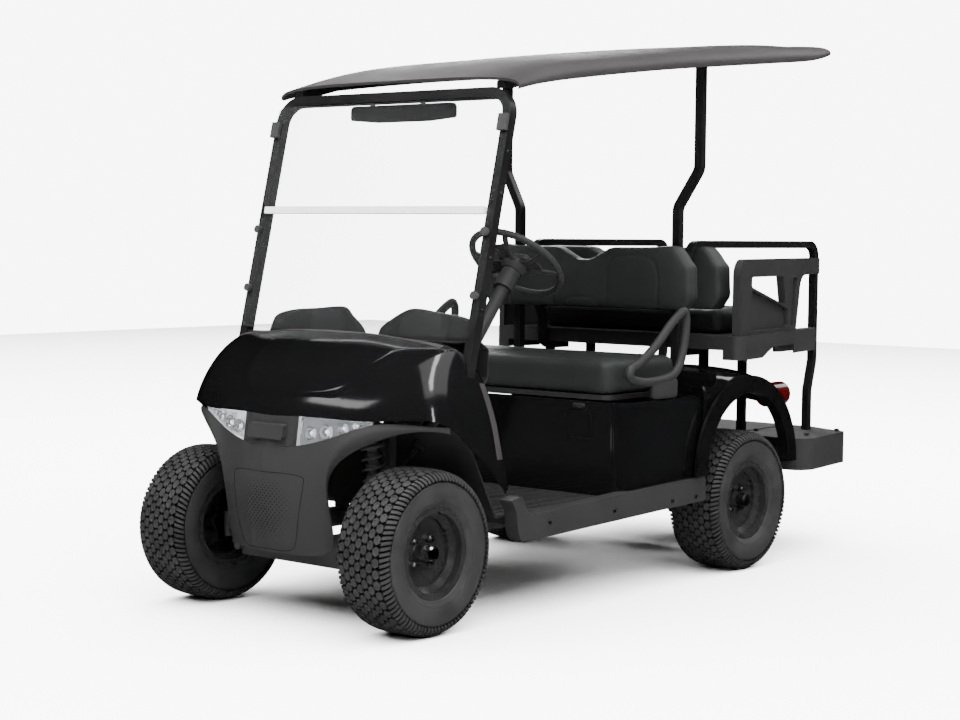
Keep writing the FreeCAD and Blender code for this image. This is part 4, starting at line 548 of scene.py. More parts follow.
def mix_rubber():
    """Tyre rubber: dull, finely pitted, greyer in patches where it has rubbed; painted shade
    darkens the grooves and dimples of the tread to near black.
    """
    paint = Paint("rubber_finish", IOR=1.5)
    cloud = paint.ramp(paint.noise(14.0, 5.0, 0.6), 0.35, 0.7)
    pits = paint.noise(700, 4.0, 0.7)
    colour = tuple(looks().rubber)
    # The lift attribute carries the tread's painted shade: 1 on block tops and sidewalls, 0 or less
    # in grooves and dimples.
    lift = paint.node("ShaderNodeAttribute", {"attribute_name": "lift"}, {}, "Fac")
    top = paint.ramp(lift, 0.15, 0.7)
    worn = paint.blend(cloud, colour, tuple(c * 1.55 for c in colour))
    # Painted shade: where lift is low, in the grooves and dimples, the colour falls to 6% of the
    # rubber's.
    paint.feed("Base Color", paint.blend(top, tuple(c * 0.06 for c in colour), worn))
    paint.feed("Roughness", 0.5 + cloud * 0.1 + pits * 0.12)
    paint.feed("Normal", paint.bump(pits, 0.0004, 0.35))
    return paint.material


def mix_metal(name, colour, rough, streak=160.0):
    """Bright metal: plated or cast, with fine streaks and spots in its roughness."""
    paint = Paint(name, Metallic=1.0)
    spot = paint.ramp(paint.noise(38, 5.0, 0.6), 0.3, 0.75)
    fine = paint.noise(streak, 3.0)
    paint.feed("Base Color", paint.blend(spot, colour, tuple(c * 0.8 for c in colour)))
    paint.feed("Roughness", spot * 0.12 + fine * 0.1 + rough)
    paint.feed("Normal", paint.bump(fine, 0.0002, 0.3))
    return paint.material


def mix_vinyl():
    """Seat vinyl: leather-like cells, soft creases and a faint sheen."""
    paint = Paint("vinyl_finish", IOR=1.46)
    cloud = paint.ramp(paint.noise(5.0, 4.0), 0.35, 0.7)
    cells = paint.cells(620, "DISTANCE_TO_EDGE")
    pores = paint.ramp(cells, 0.0, 0.35)
    crease = paint.noise(26, 5.0, 0.65)
    colour = tuple(looks().seat)
    paint.feed("Base Color", paint.blend(cloud * 0.5 + pores * 0.4, tuple(c * 0.75 for c in colour),
                                         tuple(c * 1.3 for c in colour)))
    paint.feed("Roughness", 0.34 + cloud * 0.08 + (1 - pores) * 0.14)
    paint.feed("Normal", paint.bump(pores + crease * 0.9, 0.0005, 0.4))
    return paint.material


def mix_pane(name, share, tint):
    """Clear acrylic sheet: light passes straight through except for a Fresnel share."""
    paint = Paint(name, Roughness=0.04, IOR=1.49)
    paint.shader.inputs["Base Color"].default_value = (*tint, 1.0)
    clear = paint.node("ShaderNodeBsdfTransparent", {}, {"Color": (0.975, 0.985, 0.985, 1.0)})
    smear = paint.ramp(paint.noise(3.0, 4.0), 0.4, 0.75)
    edge = paint.node("ShaderNodeFresnel", {}, {"IOR": 1.3})
    mixed = paint.node("ShaderNodeMixShader", {}, {
        0: (edge * 0.8 + smear * 0.01 + share).clipped(), 1: clear,
        2: Tone(paint, paint.shader.outputs[0])})
    end = paint.tree.nodes["Material Output"]
    paint.tree.links.new(mixed.socket, end.inputs["Surface"])
    return paint.material


def mix_red():
    """Red lamp lens with a fine prism grid pressed behind it."""
    paint = Paint("red_lens_finish", Coat_Weight=1.0, Coat_Roughness=0.03, IOR=1.5)
    grid = paint.node("ShaderNodeTexChecker", {}, {"Vector": paint.place(), "Scale": 220.0},
                      "Fac")
    deep = paint.noise(30, 2.0) * 0.4 + grid * 0.5
    paint.feed("Base Color", paint.blend(deep, (0.010, 0.0004, 0.0004), (0.030, 0.0008, 0.0008)))
    paint.feed("Roughness", deep * 0.1 + 0.12)
    paint.feed("Normal", paint.bump(grid, 0.0004, 0.4))
    return paint.material


def mix_silver():
    """Mirror coating on glass and on the lamps' bowls."""
    paint = Paint("silver_finish", Metallic=1.0)
    haze = paint.ramp(paint.noise(7.0, 3.0), 0.4, 0.8)
    paint.feed("Base Color", paint.blend(haze, (0.88, 0.89, 0.9), (0.8, 0.81, 0.83)))
    paint.feed("Roughness", haze * 0.03 + 0.04)
    return paint.material


def mix_glow():
    """The pale glow of a lamp that is switched off but catches the light."""
    paint = Paint("lamp_core_finish", Roughness=0.15, Coat_Weight=1.0)
    core = paint.ramp(paint.noise(90, 2.0), 0.3, 0.7)
    paint.feed("Base Color", paint.blend(core, (0.62, 0.63, 0.68), (0.9, 0.91, 0.95)))
    return paint.material


def mix_dark():
    """Near-black: painted shade for the grille's dimples, and the dark joints of panel lines."""
    paint = Paint("hollow_finish", IOR=1.3)
    dust = paint.noise(60, 3.0)
    paint.feed("Base Color", paint.blend(dust, grey(0.0015), grey(0.004)))
    paint.feed("Roughness", dust * 0.1 + 0.8)
    return paint.material


RECIPES = {
    "gloss_panel": mix_gloss_panel,
    # Grained plastic of fascia, rockers, tray and step; of dash and small mouldings; of the roof.
    "grained_trim": lambda: mix_grained("grained_trim_finish", tuple(looks().trim), 0.56),
    "black_trim": lambda: mix_grained("black_trim_finish", grey(0.0082), 0.5),
    "roof_skin": lambda: mix_grained("roof_finish", tuple(looks().roof), 0.5, 0.0005, 1.18),
    "floor_mat": lambda: mix_grained("mat_finish", grey(0.0085), 0.55, 0.0003),
    "battery": lambda: mix_grained("battery_finish", (0.02, 0.02, 0.022), 0.45, 0.0003),
    # Powder coat of tubes and rails, a duller one of the chassis, enamel, and satin arches.
    "black_tube": lambda: mix_powder("black_tube_finish", 0.003, 0.34),
    "chassis_paint": lambda: mix_powder("chassis_finish", 0.011, 0.55),
    "wheel_paint": lambda: mix_powder("wheel_finish", 0.0065, 0.26),
    "satin": lambda: mix_powder("satin_finish", 0.0012, 0.3),
    # Zinc plate, polished nuts and caps, and grey castings.
    "zinc": lambda: mix_metal("zinc_finish", (0.52, 0.53, 0.55), 0.22),
    "bright": lambda: mix_metal("bright_finish", (0.72, 0.72, 0.73), 0.12, 240.0),
    "cast": lambda: mix_metal("cast_finish", (0.16, 0.16, 0.165), 0.42, 420.0),
    # The windshield's sheet, and the lamps' covers, which are a little milky.
    "clear": lambda: mix_pane("clear_finish", 0.012, (0.07, 0.07, 0.07)),
    "lens": lambda: mix_pane("lens_finish", 0.06, (0.5, 0.52, 0.55)),
    "fittings": mix_fittings, "tyre": mix_rubber, "vinyl": mix_vinyl, "red_lens": mix_red,
    "silvered": mix_silver, "core": mix_glow, "hollow": mix_dark,
}

NODE_FINISH = {
    "gloss_panel": ("front_cowl", "seat_pod", "tail_body"),
    "grained_trim": ("front_fascia", "rockers", "rear_tray", "rear_step"),
    "black_trim": ("dash", "lamp_bar", "seat_pan", "mirror", "steering_column", "rear_arms",
                   "hip_restraints", "steering_wheel"),
    "satin": ("rear_flares",), "fittings": ("windshield_fittings",),
    "roof_skin": ("roof",),
    "black_tube": ("front_struts", "rear_struts", "grab_rails", "roof_rails", "back_brackets",
                   "tray_frame", "step_arms"),
    "chassis_paint": ("frame", "front_axle", "rack_housing", "rear_axle", "leaf_springs",
                      "front_shocks"),
    "wheel_paint": ("wheel_front_left", "wheel_front_right", "wheel_rear_left",
                    "wheel_rear_right"),
    "cast": ("knuckle_left", "knuckle_right", "drive_motor"),
    "zinc": ("steering_rack", "seat_hinges", "pedals"),
    "clear": ("windshield_lower", "windshield_upper"),
    "lens": ("headlamps",), "red_lens": ("tail_lamps",), "floor_mat": ("floor_pan",),
    "battery": ("battery_pack",), "tyre": ("tyre_front_left", "tyre_front_right",
                                           "tyre_rear_left", "tyre_rear_right"),
    "vinyl": ("seat_cushion", "seat_back_front", "seat_back_rear", "rear_cushion"),
}


class CART_OT_finishes(bpy.types.Operator):
    """Paint the solids that show as they are"""

    bl_idname = "cart.finishes"
    bl_label = "Finishes"

    def execute(self, context):
        for name, nodes in NODE_FINISH.items():
            for node in nodes:
                mesh = NODES[node].data
                mesh.materials.clear()
                mesh.materials.append(finish(name))
        missing = sorted(set(NODES).difference(*NODE_FINISH.values()))
        if missing:
            raise RuntimeError(f"no finish is named for {missing}")
        return {"FINISHED"}


# Tyres.


# The half outline of a carcass from the crown over the shoulder to the bead: across and radius.
CARCASS = ((0.0, 0.2472), (0.03, 0.2469), (0.06, 0.2454), (0.076, 0.2424), (0.0875, 0.2372),
           (0.0955, 0.2280), (0.0990, 0.2160), (0.1006, 0.2000), (0.1008, 0.1850),
           (0.0990, 0.1700), (0.0950, 0.1570), (0.0905, 0.1500), (0.0890, 0.1455),
           (0.0865, 0.1425), (0.0830, 0.1405), (0.0800, 0.1340), (0.0800, 0.1285))
# Seven rows of blocks lie on the crown; beyond them the shoulder's lugs reach further out.
ROW_PITCH = 0.0225
ROWS_ASIDE = 3
CROWN_HALF = (ROWS_ASIDE + 0.5) * ROW_PITCH
SHOULDER_REACH = 0.033
SHOULDER_LEAN = 0.35
DIMPLE_SHARE = 0.3


def tyre_section(spots):
    """The carcass outline at signed distances from the crown, as (across, radius, out across,
    out radius, whole length)."""
    line = drawn(CARCASS, 400)
    length = lengths(line)
    reach = np.abs(spots)
    across = np.interp(reach, length, line[:, 0]) * np.sign(spots)
    radius = np.interp(reach, length, line[:, 1])
    slope = unit(np.gradient(line, axis=0))
    out_across = np.interp(reach, length, -slope[:, 1]) * np.sign(spots)
    out_radius = np.interp(reach, length, slope[:, 0])
    return across, radius, out_across, out_radius, length[-1]


def tread_columns():
    """Columns over the tread as (distance from crown, raised, dimpled, block's length, row)."""
    half, edge = ROW_PITCH * 0.46, ROW_PITCH * 0.04
    inner, ring = half * 0.5, half * 0.64
    columns = []
    for row in range(-ROWS_ASIDE, ROWS_ASIDE + 1):
        for step, raised, dimple, length in (
                (-half - edge, 0, 0, 0.40), (-half, 1, 0, 0.42), (-ring, 1, 0, 0.62),
                (-inner, 1, 1, 0.68), (0, 1, 1, 0.86), (inner, 1, 1, 0.68), (ring, 1, 0, 0.62),
                (half, 1, 0, 0.42), (half + edge, 0, 0, 0.40)):
            columns.append((row * ROW_PITCH + step, raised, dimple, length, row))
    lug = [(CROWN_HALF + 0.001 + step, raised, 0, 1, ROWS_ASIDE + 1) for step, raised in (
        (0, 0), (0.0012, 1), (0.011, 1), (0.020, 1), (0.027, 0.8), (SHOULDER_REACH, 0))]
    return [(-s, *rest, -row) for s, *rest, row in reversed(lug)] + columns + lug


def block_samples(length, row):
    """Eight places along one block's pitch, with what is raised and what is dimpled there."""
    long = 0.055
    if abs(row) > ROWS_ASIDE:
        places = np.array((-0.5, -0.45, -0.17, -0.12, 0.0, 0.05, 0.33, 0.38))
        return places, np.array((0, 1, 1, 0, 0, 1, 1, 0.0)), np.zeros(8)
    half = length / 2
    places = np.array((-half - long, -half, -0.60 * half, -0.46 * half,
                       0.46 * half, 0.60 * half, half, half + long))
    return places, np.array((0, 1, 1, 1, 1, 1, 1, 0.0)), np.array((0, 0, 0, 1, 1, 0, 0, 0.0))


def tyre_form(centre, sign):
    """A tyre as one closed grid: columns run across the section, rows round the axle.

    point = centre + across * X + radius * (sin a * Y + cos a * Z), where the section is lifted
    along its own normal by the tread depth on the blocks. Each block is widest round its
    middle column, so the staggered rows lock like honeycomb, and has a shallow dimple; the
    shoulders carry twice as many plain lugs, which lean.
    """
    depth = sizes().tread_depth
    blocks = sizes().tread_blocks
    tread = tread_columns()
    total = tyre_section(np.array((0.0,)))[4]
    side = np.linspace(tread[-1][0] + 0.002, total, 20)
    bare = [(spot, 0, 0, 1, ROWS_ASIDE + 1) for spot in side]
    columns = [(-s, *rest, -row) for s, *rest, row in reversed(bare)] + tread + bare
    spots = np.array([column[0] for column in columns])
    across, radius, out_a, out_r, _ = tyre_section(spots)
    places, raised, dimpled = (np.stack(part, axis=1) for part in zip(
        *(block_samples(length, row) for _, _, _, length, row in columns)))
    row = np.array([column[4] for column in columns])
    beyond = np.clip((np.abs(spots) - CROWN_HALF) / SHOULDER_REACH, 0, 1)
    shift = np.where(row % 2 != 0, 0.5, 0.0) + SHOULDER_LEAN * beyond * np.sign(spots)
    turn = (np.arange(blocks)[:, None, None] + places[None] + shift[None, None]) / blocks
    angle = 2 * math.pi * turn.reshape(-1, len(spots))
    lift = np.array([column[1] for column in columns]) * raised
    lift = lift - DIMPLE_SHARE * np.array([column[2] for column in columns]) * dimpled
    lift = depth * np.tile(lift, (blocks, 1))
    r = radius[None] + out_r[None] * lift
    a = across[None] + out_a[None] * lift
    body = np.stack((centre[0] + sign * a * np.ones_like(angle),
                     centre[1] + r * np.sin(angle),
                     centre[2] + r * np.cos(angle)), axis=-1)
    # Painted shade for the rubber finish: each point's lift over the tread depth, so grooves and
    # dimples come out dark; the sidewalls keep full colour.
    shade = lift / depth
    shade[:, :len(side)] = 1
    shade[:, -len(side):] = 1
    if sign < 0:
        body = body[::-1]
        shade = shade[::-1]
    return lattice(body, wrap_rows=True, wrap_columns=True), shade.reshape(-1)


def sidewall_rings(centre):
    """Thin raised rings on each sidewall: small tori round the axle."""
    forms = []
    for reach, radius, thick in ((0.0994, 0.2120, 0.0011), (0.0962, 0.1600, 0.0012)):
        for side in (1, -1):
            angle = np.linspace(0, 2 * math.pi, 96, endpoint=False)
            path = np.stack((np.full(96, centre[0] + side * reach),
                             centre[1] + radius * np.sin(angle),
                             centre[2] + radius * np.cos(angle)), axis=-1)
            forms.append(rod(path, thick, 6, closed=True, up=(1, 0, 0)))
    return forms


class CART_OT_tyres(bpy.types.Operator):
    """Build the four treaded tyres"""

    bl_idname = "cart.tyres"
    bl_label = "Tyres"

    def execute(self, context):
        for end, side, sign in WHEELS:
            node = f"tyre_{end}_{side}"
            centre = np.array(middle(node))
            # tyre_form's second value is the painted shade of the carcass's points: low in the
            # tread's grooves and dimples.
            carcass, lift = tyre_form(centre, sign)
            item = piece(f"treaded_{node}", [carcass] + sidewall_rings(centre), "tyre",
                         f"wheel_{end}_{side}", 28.0)
            # The lift attribute carries that painted shade to the rubber finish; the sidewall rings
            # keep full colour.
            worn = item.data.attributes.new("lift", "FLOAT", "POINT")
            share = np.ones(len(item.data.vertices))
            share[:lift.size] = lift
            worn.data.foreach_set("value", share)
            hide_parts(node)
        return {"FINISHED"}


# Wheel parts, turned about the axle as pairs of radius and height. The disc's outer face lies
# HUB_FACE beyond the middle of the tyre.
HUB_FACE = 0.0205
NUT_CIRCLE = 0.0508
SLEEVE = ((0, 0), (0.0345, 0), (0.0345, 0.004), (0.0318, 0.006), (0.0290, 0.0305),
          (0.0225, 0.0315), (0.0222, 0.0560), (0.0185, 0.0600), (0.0120, 0.0608),
          (0.0105, 0.0628), (0, 0.0628))
DUST_CAP = ((0, 0.0330), (0.0246, 0.0330), (0.0240, 0.0560), (0.0205, 0.0610),
            (0.0120, 0.0640), (0, 0.0640))
WHEEL_NUT = ((0, 0), (0.0135, 0), (0.0135, 0.0030), (0.0118, 0.0034), (0.0112, 0.0150),
             (0.0085, 0.0175), (0.0060, 0.0175), (0.0060, 0.0215), (0, 0.0215))
VALVE_STEM = ((0, -0.001), (0.0062, -0.001), (0.0052, 0.004), (0.0034, 0.008),
              (0.0034, 0.020), (0, 0.020))
VALVE_CAP = ((0, 0.018), (0.0042, 0.018), (0.0042, 0.026), (0.0034, 0.0272), (0, 0.0272))


class CART_OT_wheel_parts(bpy.types.Operator):
    """Add plated hubs, dust caps, nuts and valve stems to the wheels"""

    bl_idname = "cart.wheel_parts"
    bl_label = "Wheel parts"

    def execute(self, context):
        for end, side, sign in WHEELS:
            front = end == "front"
            body = f"wheel_{end}_{side}"
            centre = np.array(middle(f"tyre_{end}_{side}"))
            out = np.array((sign, 0, 0))
            face = centre + out * HUB_FACE
            piece(f"hub_{end}_{side}", [turned(face, out, SLEEVE if front else DUST_CAP, 40)],
                  "zinc" if front else "cast", body, 30.0)
            if front:
                piece(f"dust_cap_{side}", [turned(face, out, DUST_CAP, 40)], "silvered",
                      body, 30.0)
            nuts = []
            for quarter in range(4):
                angle = math.pi / 4 + quarter * math.pi / 2
                seat = face + NUT_CIRCLE * np.array((0, math.cos(angle), math.sin(angle)))
                nuts.append(turned(seat, out, WHEEL_NUT, 6))
            piece(f"wheel_nuts_{end}_{side}", nuts, "bright", body, 25.0)
            foot, _ = land(body, centre + np.array((sign * 0.2, 0.086, 0.05)), -out)
            piece(f"valve_{end}_{side}", [turned(foot, out, VALVE_STEM, 12),
                                          turned(foot, out, VALVE_CAP, 10)],
                  "black_trim", body)
        return {"FINISHED"}


# Cushions.


def copied(node, name):
    """A loose copy of a node's mesh with its doubled points merged."""
    source = NODES[node].data
    spots, faces = welded(rows_of(source.vertices), [tuple(p.vertices) for p in source.polygons])
    mesh = bpy.data.meshes.new(name)
    mesh.from_pydata(spots.tolist(), [], faces)
    mesh.update()
    return linked(name, mesh)


def rows_of(points, key="co"):
    """A list of mesh points as rows of their place, or of their normal."""
    flat = np.empty(len(points) * 3)
    points.foreach_get(key, flat)
    return flat.reshape(-1, 3)


def set_coords(mesh, spots):
    """Write a mesh's points."""
    mesh.vertices.foreach_set("co", spots.reshape(-1))
    mesh.update()


def baked(item):
    """Replace an object's mesh by what its modifiers make of it, and drop them."""
    bpy.context.view_layer.update()
    graph = bpy.context.evaluated_depsgraph_get()
    mesh = bpy.data.meshes.new_from_object(item.evaluated_get(graph))
    item.modifiers.clear()
    item.data = mesh
    return mesh


# The cloth of a pad's cover: pressure from inside, stiffness, and frames to blow it up.
PRESSURE = 4.0
STIFFNESS = 25.0
FRAMES = 20


def puffed(item, cap):
    """Cloth blown up from inside; no point may move further than cap."""
    before = rows_of(item.data.vertices)
    cloth = item.modifiers.new("cover", "CLOTH")
    cloth.settings.use_pressure = True
    cloth.settings.uniform_pressure_force = PRESSURE
    cloth.settings.effector_weights.gravity = 0.0
    cloth.settings.tension_stiffness = STIFFNESS
    cloth.settings.quality = 5
    cloth.point_cache.frame_start = 1
    cloth.point_cache.frame_end = FRAMES
    scene = bpy.context.scene
    for number in range(1, FRAMES + 1):
        scene.frame_set(number)
    graph = bpy.context.evaluated_depsgraph_get()
    blown = bpy.data.meshes.new_from_object(item.evaluated_get(graph))
    moved = rows_of(blown.vertices) - before
    item.modifiers.clear()
    bpy.data.meshes.remove(blown)
    scene.frame_set(1)
    reach = np.linalg.norm(moved, axis=1)[:, None]
    set_coords(item.data, before + moved * np.minimum(1, cap / np.maximum(reach, 1e-9)))


def distance_to_line(spots, line):
    """The least distance from each point of a plane to a run of straight pieces."""
    line = np.array(line, float)
    start = line[:-1][None]
    step = (line[1:] - line[:-1])[None]
    to = spots[:, None] - start
    share = np.clip((to * step).sum(-1) / np.maximum((step ** 2).sum(-1), 1e-12), 0, 1)
    gap = np.linalg.norm(to - share[..., None] * step, axis=-1)
    return gap.min(axis=1)


# How far a pad's cover is drawn in before it is blown up, the size of its even squares, how
# wide a seam presses it, and how far a seat's pad may hang below its solid.
DRAWN_IN = 0.004
PAD_GRID = 0.009
SEAM_WIDTH = 0.0045
HANG = 0.0002


def cushion(node, name, seams, facing, floor=None):
    """A padded cover round a node's solid.

    The solid is drawn in, remeshed to even squares, blown up as cloth and subdivided; then each
    seam presses the points near it inwards by depth * exp(-(gap / SEAM_WIDTH)^2), and between
    two seams the pad crowns. Only points whose normal looks the facing way take the seams.
    """
    item = copied(node, name)
    points = item.data.vertices
    set_coords(item.data, rows_of(points) - rows_of(points, "normal") * DRAWN_IN)
    remesh = item.modifiers.new("even", "REMESH")
    remesh.mode = "VOXEL"
    remesh.voxel_size = PAD_GRID
    baked(item)
    puffed(item, sizes().swell)
    smooth = item.modifiers.new("smooth", "SMOOTH")
    smooth.iterations = 6
    smooth.factor = 0.5
    finer = item.modifiers.new("finer", "SUBSURF")
    finer.levels = 1
    finer.render_levels = 1
    mesh = baked(item)
    spots = rows_of(mesh.vertices)
    normals = rows_of(mesh.vertices, "normal")
    facing = np.array(facing, float)
    share = np.clip(((normals @ facing) - 0.25) / 0.35, 0, 1)
    plane = [axis for axis in range(3) if axis != int(np.argmax(np.abs(facing)))]
    press = np.zeros(len(spots))
    for line in seams:
        gap = distance_to_line(spots[:, plane], line)
        press = np.maximum(press, sizes().seam_depth * np.exp(-(gap / SEAM_WIDTH) ** 2))
    spots = spots - normals * (press * share)[:, None]
    if floor is not None:
        spots[:, 2] = np.maximum(spots[:, 2], floor)
    set_coords(mesh, spots)
    dressed(item, "vinyl", "front_seat" if node == "seat_cushion" else "body", None)
    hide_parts(node)


def arch(centre, half, low, high):
    """An upside-down U in a plane: two straight sides joined by a superellipse."""
    t = np.linspace(0, math.pi, 40)
    top = np.stack((np.sign(np.cos(t)) * np.abs(np.cos(t)) ** 0.62, np.sin(t) ** 0.7), axis=-1)
    middle_level = low + (high - low) * 0.45
    spots = np.stack((centre + top[:, 0] * half,
                      middle_level + top[:, 1] * (high - middle_level)), axis=-1)
    return np.vstack(((centre + half, low), spots, (centre - half, low)))


def oval(centre, half, count=60, power=1.0):
    """A closed superellipse in a plane."""
    t = np.linspace(0, 2 * math.pi, count + 1)
    return np.stack((centre[0] + half[0] * np.sign(np.cos(t)) * np.abs(np.cos(t)) ** power,
                     centre[1] + half[1] * np.sign(np.sin(t)) * np.abs(np.sin(t)) ** power),
                    axis=-1)


class CART_OT_cushions(bpy.types.Operator):
    """Pad the four cushions and press their seams"""

    bl_idname = "cart.cushions"
    bl_label = "Cushions"

    def execute(self, context):
        self.seat("seat_cushion", "front_cushion_pad", 0.235, 0.02, (0.155, 0.13))
        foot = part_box("seat_back_front")[0].z
        self.back("seat_back_front", "front_back_pad", -1,
                  [arch(0.0, 0.07, foot + 0.005, foot + 0.05)])
        self.back("seat_back_rear", "rear_back_pad", 1, [])
        self.seat("rear_cushion", "rear_cushion_pad", 0.205, 0.0, (0.14, 0.12))
        return {"FINISHED"}

    def seat(self, node, name, aside, behind, half):
        """Pad a seat, with an oval seam at each place to sit."""
        low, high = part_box(node)
        y = (low.y + high.y) / 2 + behind
        seams = [oval((sign * aside, y), half) for _, sign in SIDES]
        cushion(node, name, seams, (0, 0, 1), low.z - HANG)

    def back(self, node, name, facing, seams):
        """Pad a back, with an arched seam behind each place to sit, and any others."""
        low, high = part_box(node)
        arches = [arch(sign * 0.232, 0.114, low.z + 0.02, high.z - 0.038) for _, sign in SIDES]
        cushion(node, name, arches + seams, (0, facing, 0))


# Hip restraints: the middle line of the loop, by station and height in millimetres.
LOOP = ((146, 742), (172, 724), (240, 713), (330, 716), (400, 728), (440, 756), (464, 804),
        (480, 868), (484, 926), (470, 948), (440, 938), (385, 903), (320, 850), (255, 806),
        (200, 778), (160, 764))
# The height of the loop's underside, which its foot reaches.
LOOP_FOOT = 0.722


class CART_OT_hip_restraints(bpy.types.Operator):
    """Bend the two looped hip restraints beside the front seat"""

    bl_idname = "cart.hip_restraints"
    bl_label = "Hip restraints"

    def execute(self, context):
        low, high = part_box("hip_restraints")
        reach = high.x - 0.015
        around = drawn(np.array((*LOOP, LOOP[0]), float) / 1000, 161)[:-1]
        forms = []
        for sign in (1, -1):
            path = np.stack((np.full(len(around), sign * reach), around[:, 0] + MIDDLE_Y,
                             around[:, 1]), axis=-1)
            forms.append(rod(path, 0.0145, 14, closed=True, flat=1.15, up=(1, 0, 0)))
            foot = at(sign * reach, 0.350, (low.z + LOOP_FOOT) / 2)
            forms.append(pillow(foot, (0.013, 0.076, (LOOP_FOOT - low.z) / 2), 0.3, 10, 24))
        item = piece("hip_loops", forms, "black_trim", smooth=50.0)
        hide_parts("hip_restraints")
        return {"FINISHED"}


# Steering wheel.


def wheel_axes():
    """The steering joint's point, its axis, and two directions in the wheel's plane."""
    joint = next(j for j in frame["joints"] if j["name"] == "steering_turn")
    axis = unit(joint["axis"])
    across = np.array((1.0, 0.0, 0.0))
    up = np.cross(axis, across)
    return np.array(joint["pos_m"], float), axis, across, up


# The wheel's finger grips, its hub turned about the axis, and its spokes: angle and spread.
GRIPS = 22
RIM_STEPS = 480
WHEEL_HUB = ((0, -0.028), (0.036, -0.028), (0.047, -0.012), (0.049, 0.004), (0.043, 0.012),
             (0, 0.013))
SPOKES = ((0.0, 0.6), (math.pi, 0.6), (-math.pi / 2, 0.35))
SPOKE_HALF = (0.0095, 0.0055)
# The clip on its pad: a bent wire's half length and its radius.
CLIP_HALF = 0.055
CLIP_WIRE = 0.0042


class CART_OT_steering_wheel(bpy.types.Operator):
    """Build the rim with finger grips, the spokes and the pad"""

    bl_idname = "cart.steering_wheel"
    bl_label = "Steering wheel"

    def execute(self, context):
        centre, axis, across, up = wheel_axes()
        corners = rows_of(NODES["steering_wheel"].data.vertices) - centre
        plane = corners - (corners @ axis)[:, None] * axis
        outer = float(np.linalg.norm(plane, axis=1).max())
        top = float((corners @ axis).max())
        thick = top * 0.93
        ring = outer - thick * 1.02
        t = np.linspace(0, 2 * math.pi, RIM_STEPS, endpoint=False)
        path = centre + ring * (np.cos(t)[:, None] * across + np.sin(t)[:, None] * up)
        grips = 0.93 + 0.07 * np.abs(np.cos(t * GRIPS)) ** 0.6
        forms = [rod(path, thick * grips, 18, axis, closed=True),
                 turned(centre - axis * 0.012, axis, WHEEL_HUB, 36)]
        section = oval((0, 0), SPOKE_HALF, 12, 0.7)[:-1]
        for angle, spread in SPOKES:
            way = math.cos(angle) * across + math.sin(angle) * up
            aside = np.cross(axis, way)
            reach = 0.03 + 0.04 * spread
            for lean in (1, -1):
                start = centre + way * 0.035 + aside * lean * 0.02 - axis * 0.014
                mid = (centre + way * (ring * 0.55) + aside * lean * (0.016 + 0.016 * spread)
                       - axis * 0.012)
                end = centre + way * (ring - 0.002) + aside * lean * reach
                end = end - way * (0.5 * reach ** 2 / ring)
                forms.append(swept(drawn((start, mid, end), 14), section, axis))
            web = centre + way * 0.075 - axis * 0.012
            forms.append(pillow(web, (0.034, 0.021, 0.004), 0.5, 8, 20,
                                np.stack((way, aside, axis), axis=1)))
        clip = centre + up * 0.012 + axis * 0.004
        forms.append(pillow(clip, (0.062, 0.046, 0.0125), 0.35, 10, 28,
                            np.stack((across, up, axis), axis=1)))
        item = piece("driver_wheel", forms, "black_trim", "steering", 32.0)
        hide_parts("steering_wheel")
        bar = centre + up * 0.048 + axis * 0.019
        line = drawn([bar + across * x - up * (x * x * 2.2) for x in
                      (-CLIP_HALF, -0.03, 0.0, 0.03, CLIP_HALF)], 16)
        piece("wheel_clip", [rod(line, CLIP_WIRE, 10, axis)], "cast",
              "steering")
        return {"FINISHED"}


# Front: grille, lamps, trim.


# Where rays aimed rearwards start: clear of the nose, and in the cabin before the seat pod.
FAR_AHEAD = -1.4
CABIN_FLOOR_MIDDLE = -0.35


def front_on(node, x, z, start=FAR_AHEAD):
    """Where a ray aimed rearwards at a place across and up meets a node."""
    return land(node, (x, start, z), (0, 1, 0))


def groove(node, outline, start, half, rise):
    """A thin dark line laid on a node's front along an outline of places across and up."""
    hits = [front_on(node, x, z, start) for x, z in outline]
    path = np.array([spot + normal * 0.0004 for spot, normal in hits])
    section = ((-half, -0.0012), (half, -0.0012), (half - 0.0002, rise), (0.0002 - half, rise))
    return swept(path, section, np.array([normal for _, normal in hits]))


# The grille: its lowest and highest level, and its half widths there; the plain band round the
# dimples; the widest and the least dimple; and the half outline of the line round it, as shares
# of the width and of the way down.
GRILLE_LOW, GRILLE_HIGH = 0.245, 0.472
GRILLE_FOOT, GRILLE_HEAD = 0.118, 0.150
GRILLE_BAND = 0.018
DIMPLE = 0.0031
LEAST_DIMPLE = 0.0009
GRILLE_OUTLINE = ((-0.02, 0.0), (0.55, 0.0), (0.93, 0.03), (1.0, 0.12), (0.985, 0.5),
                  (0.93, 0.86), (0.80, 0.975), (0.5, 1.0), (0.0, 1.0))


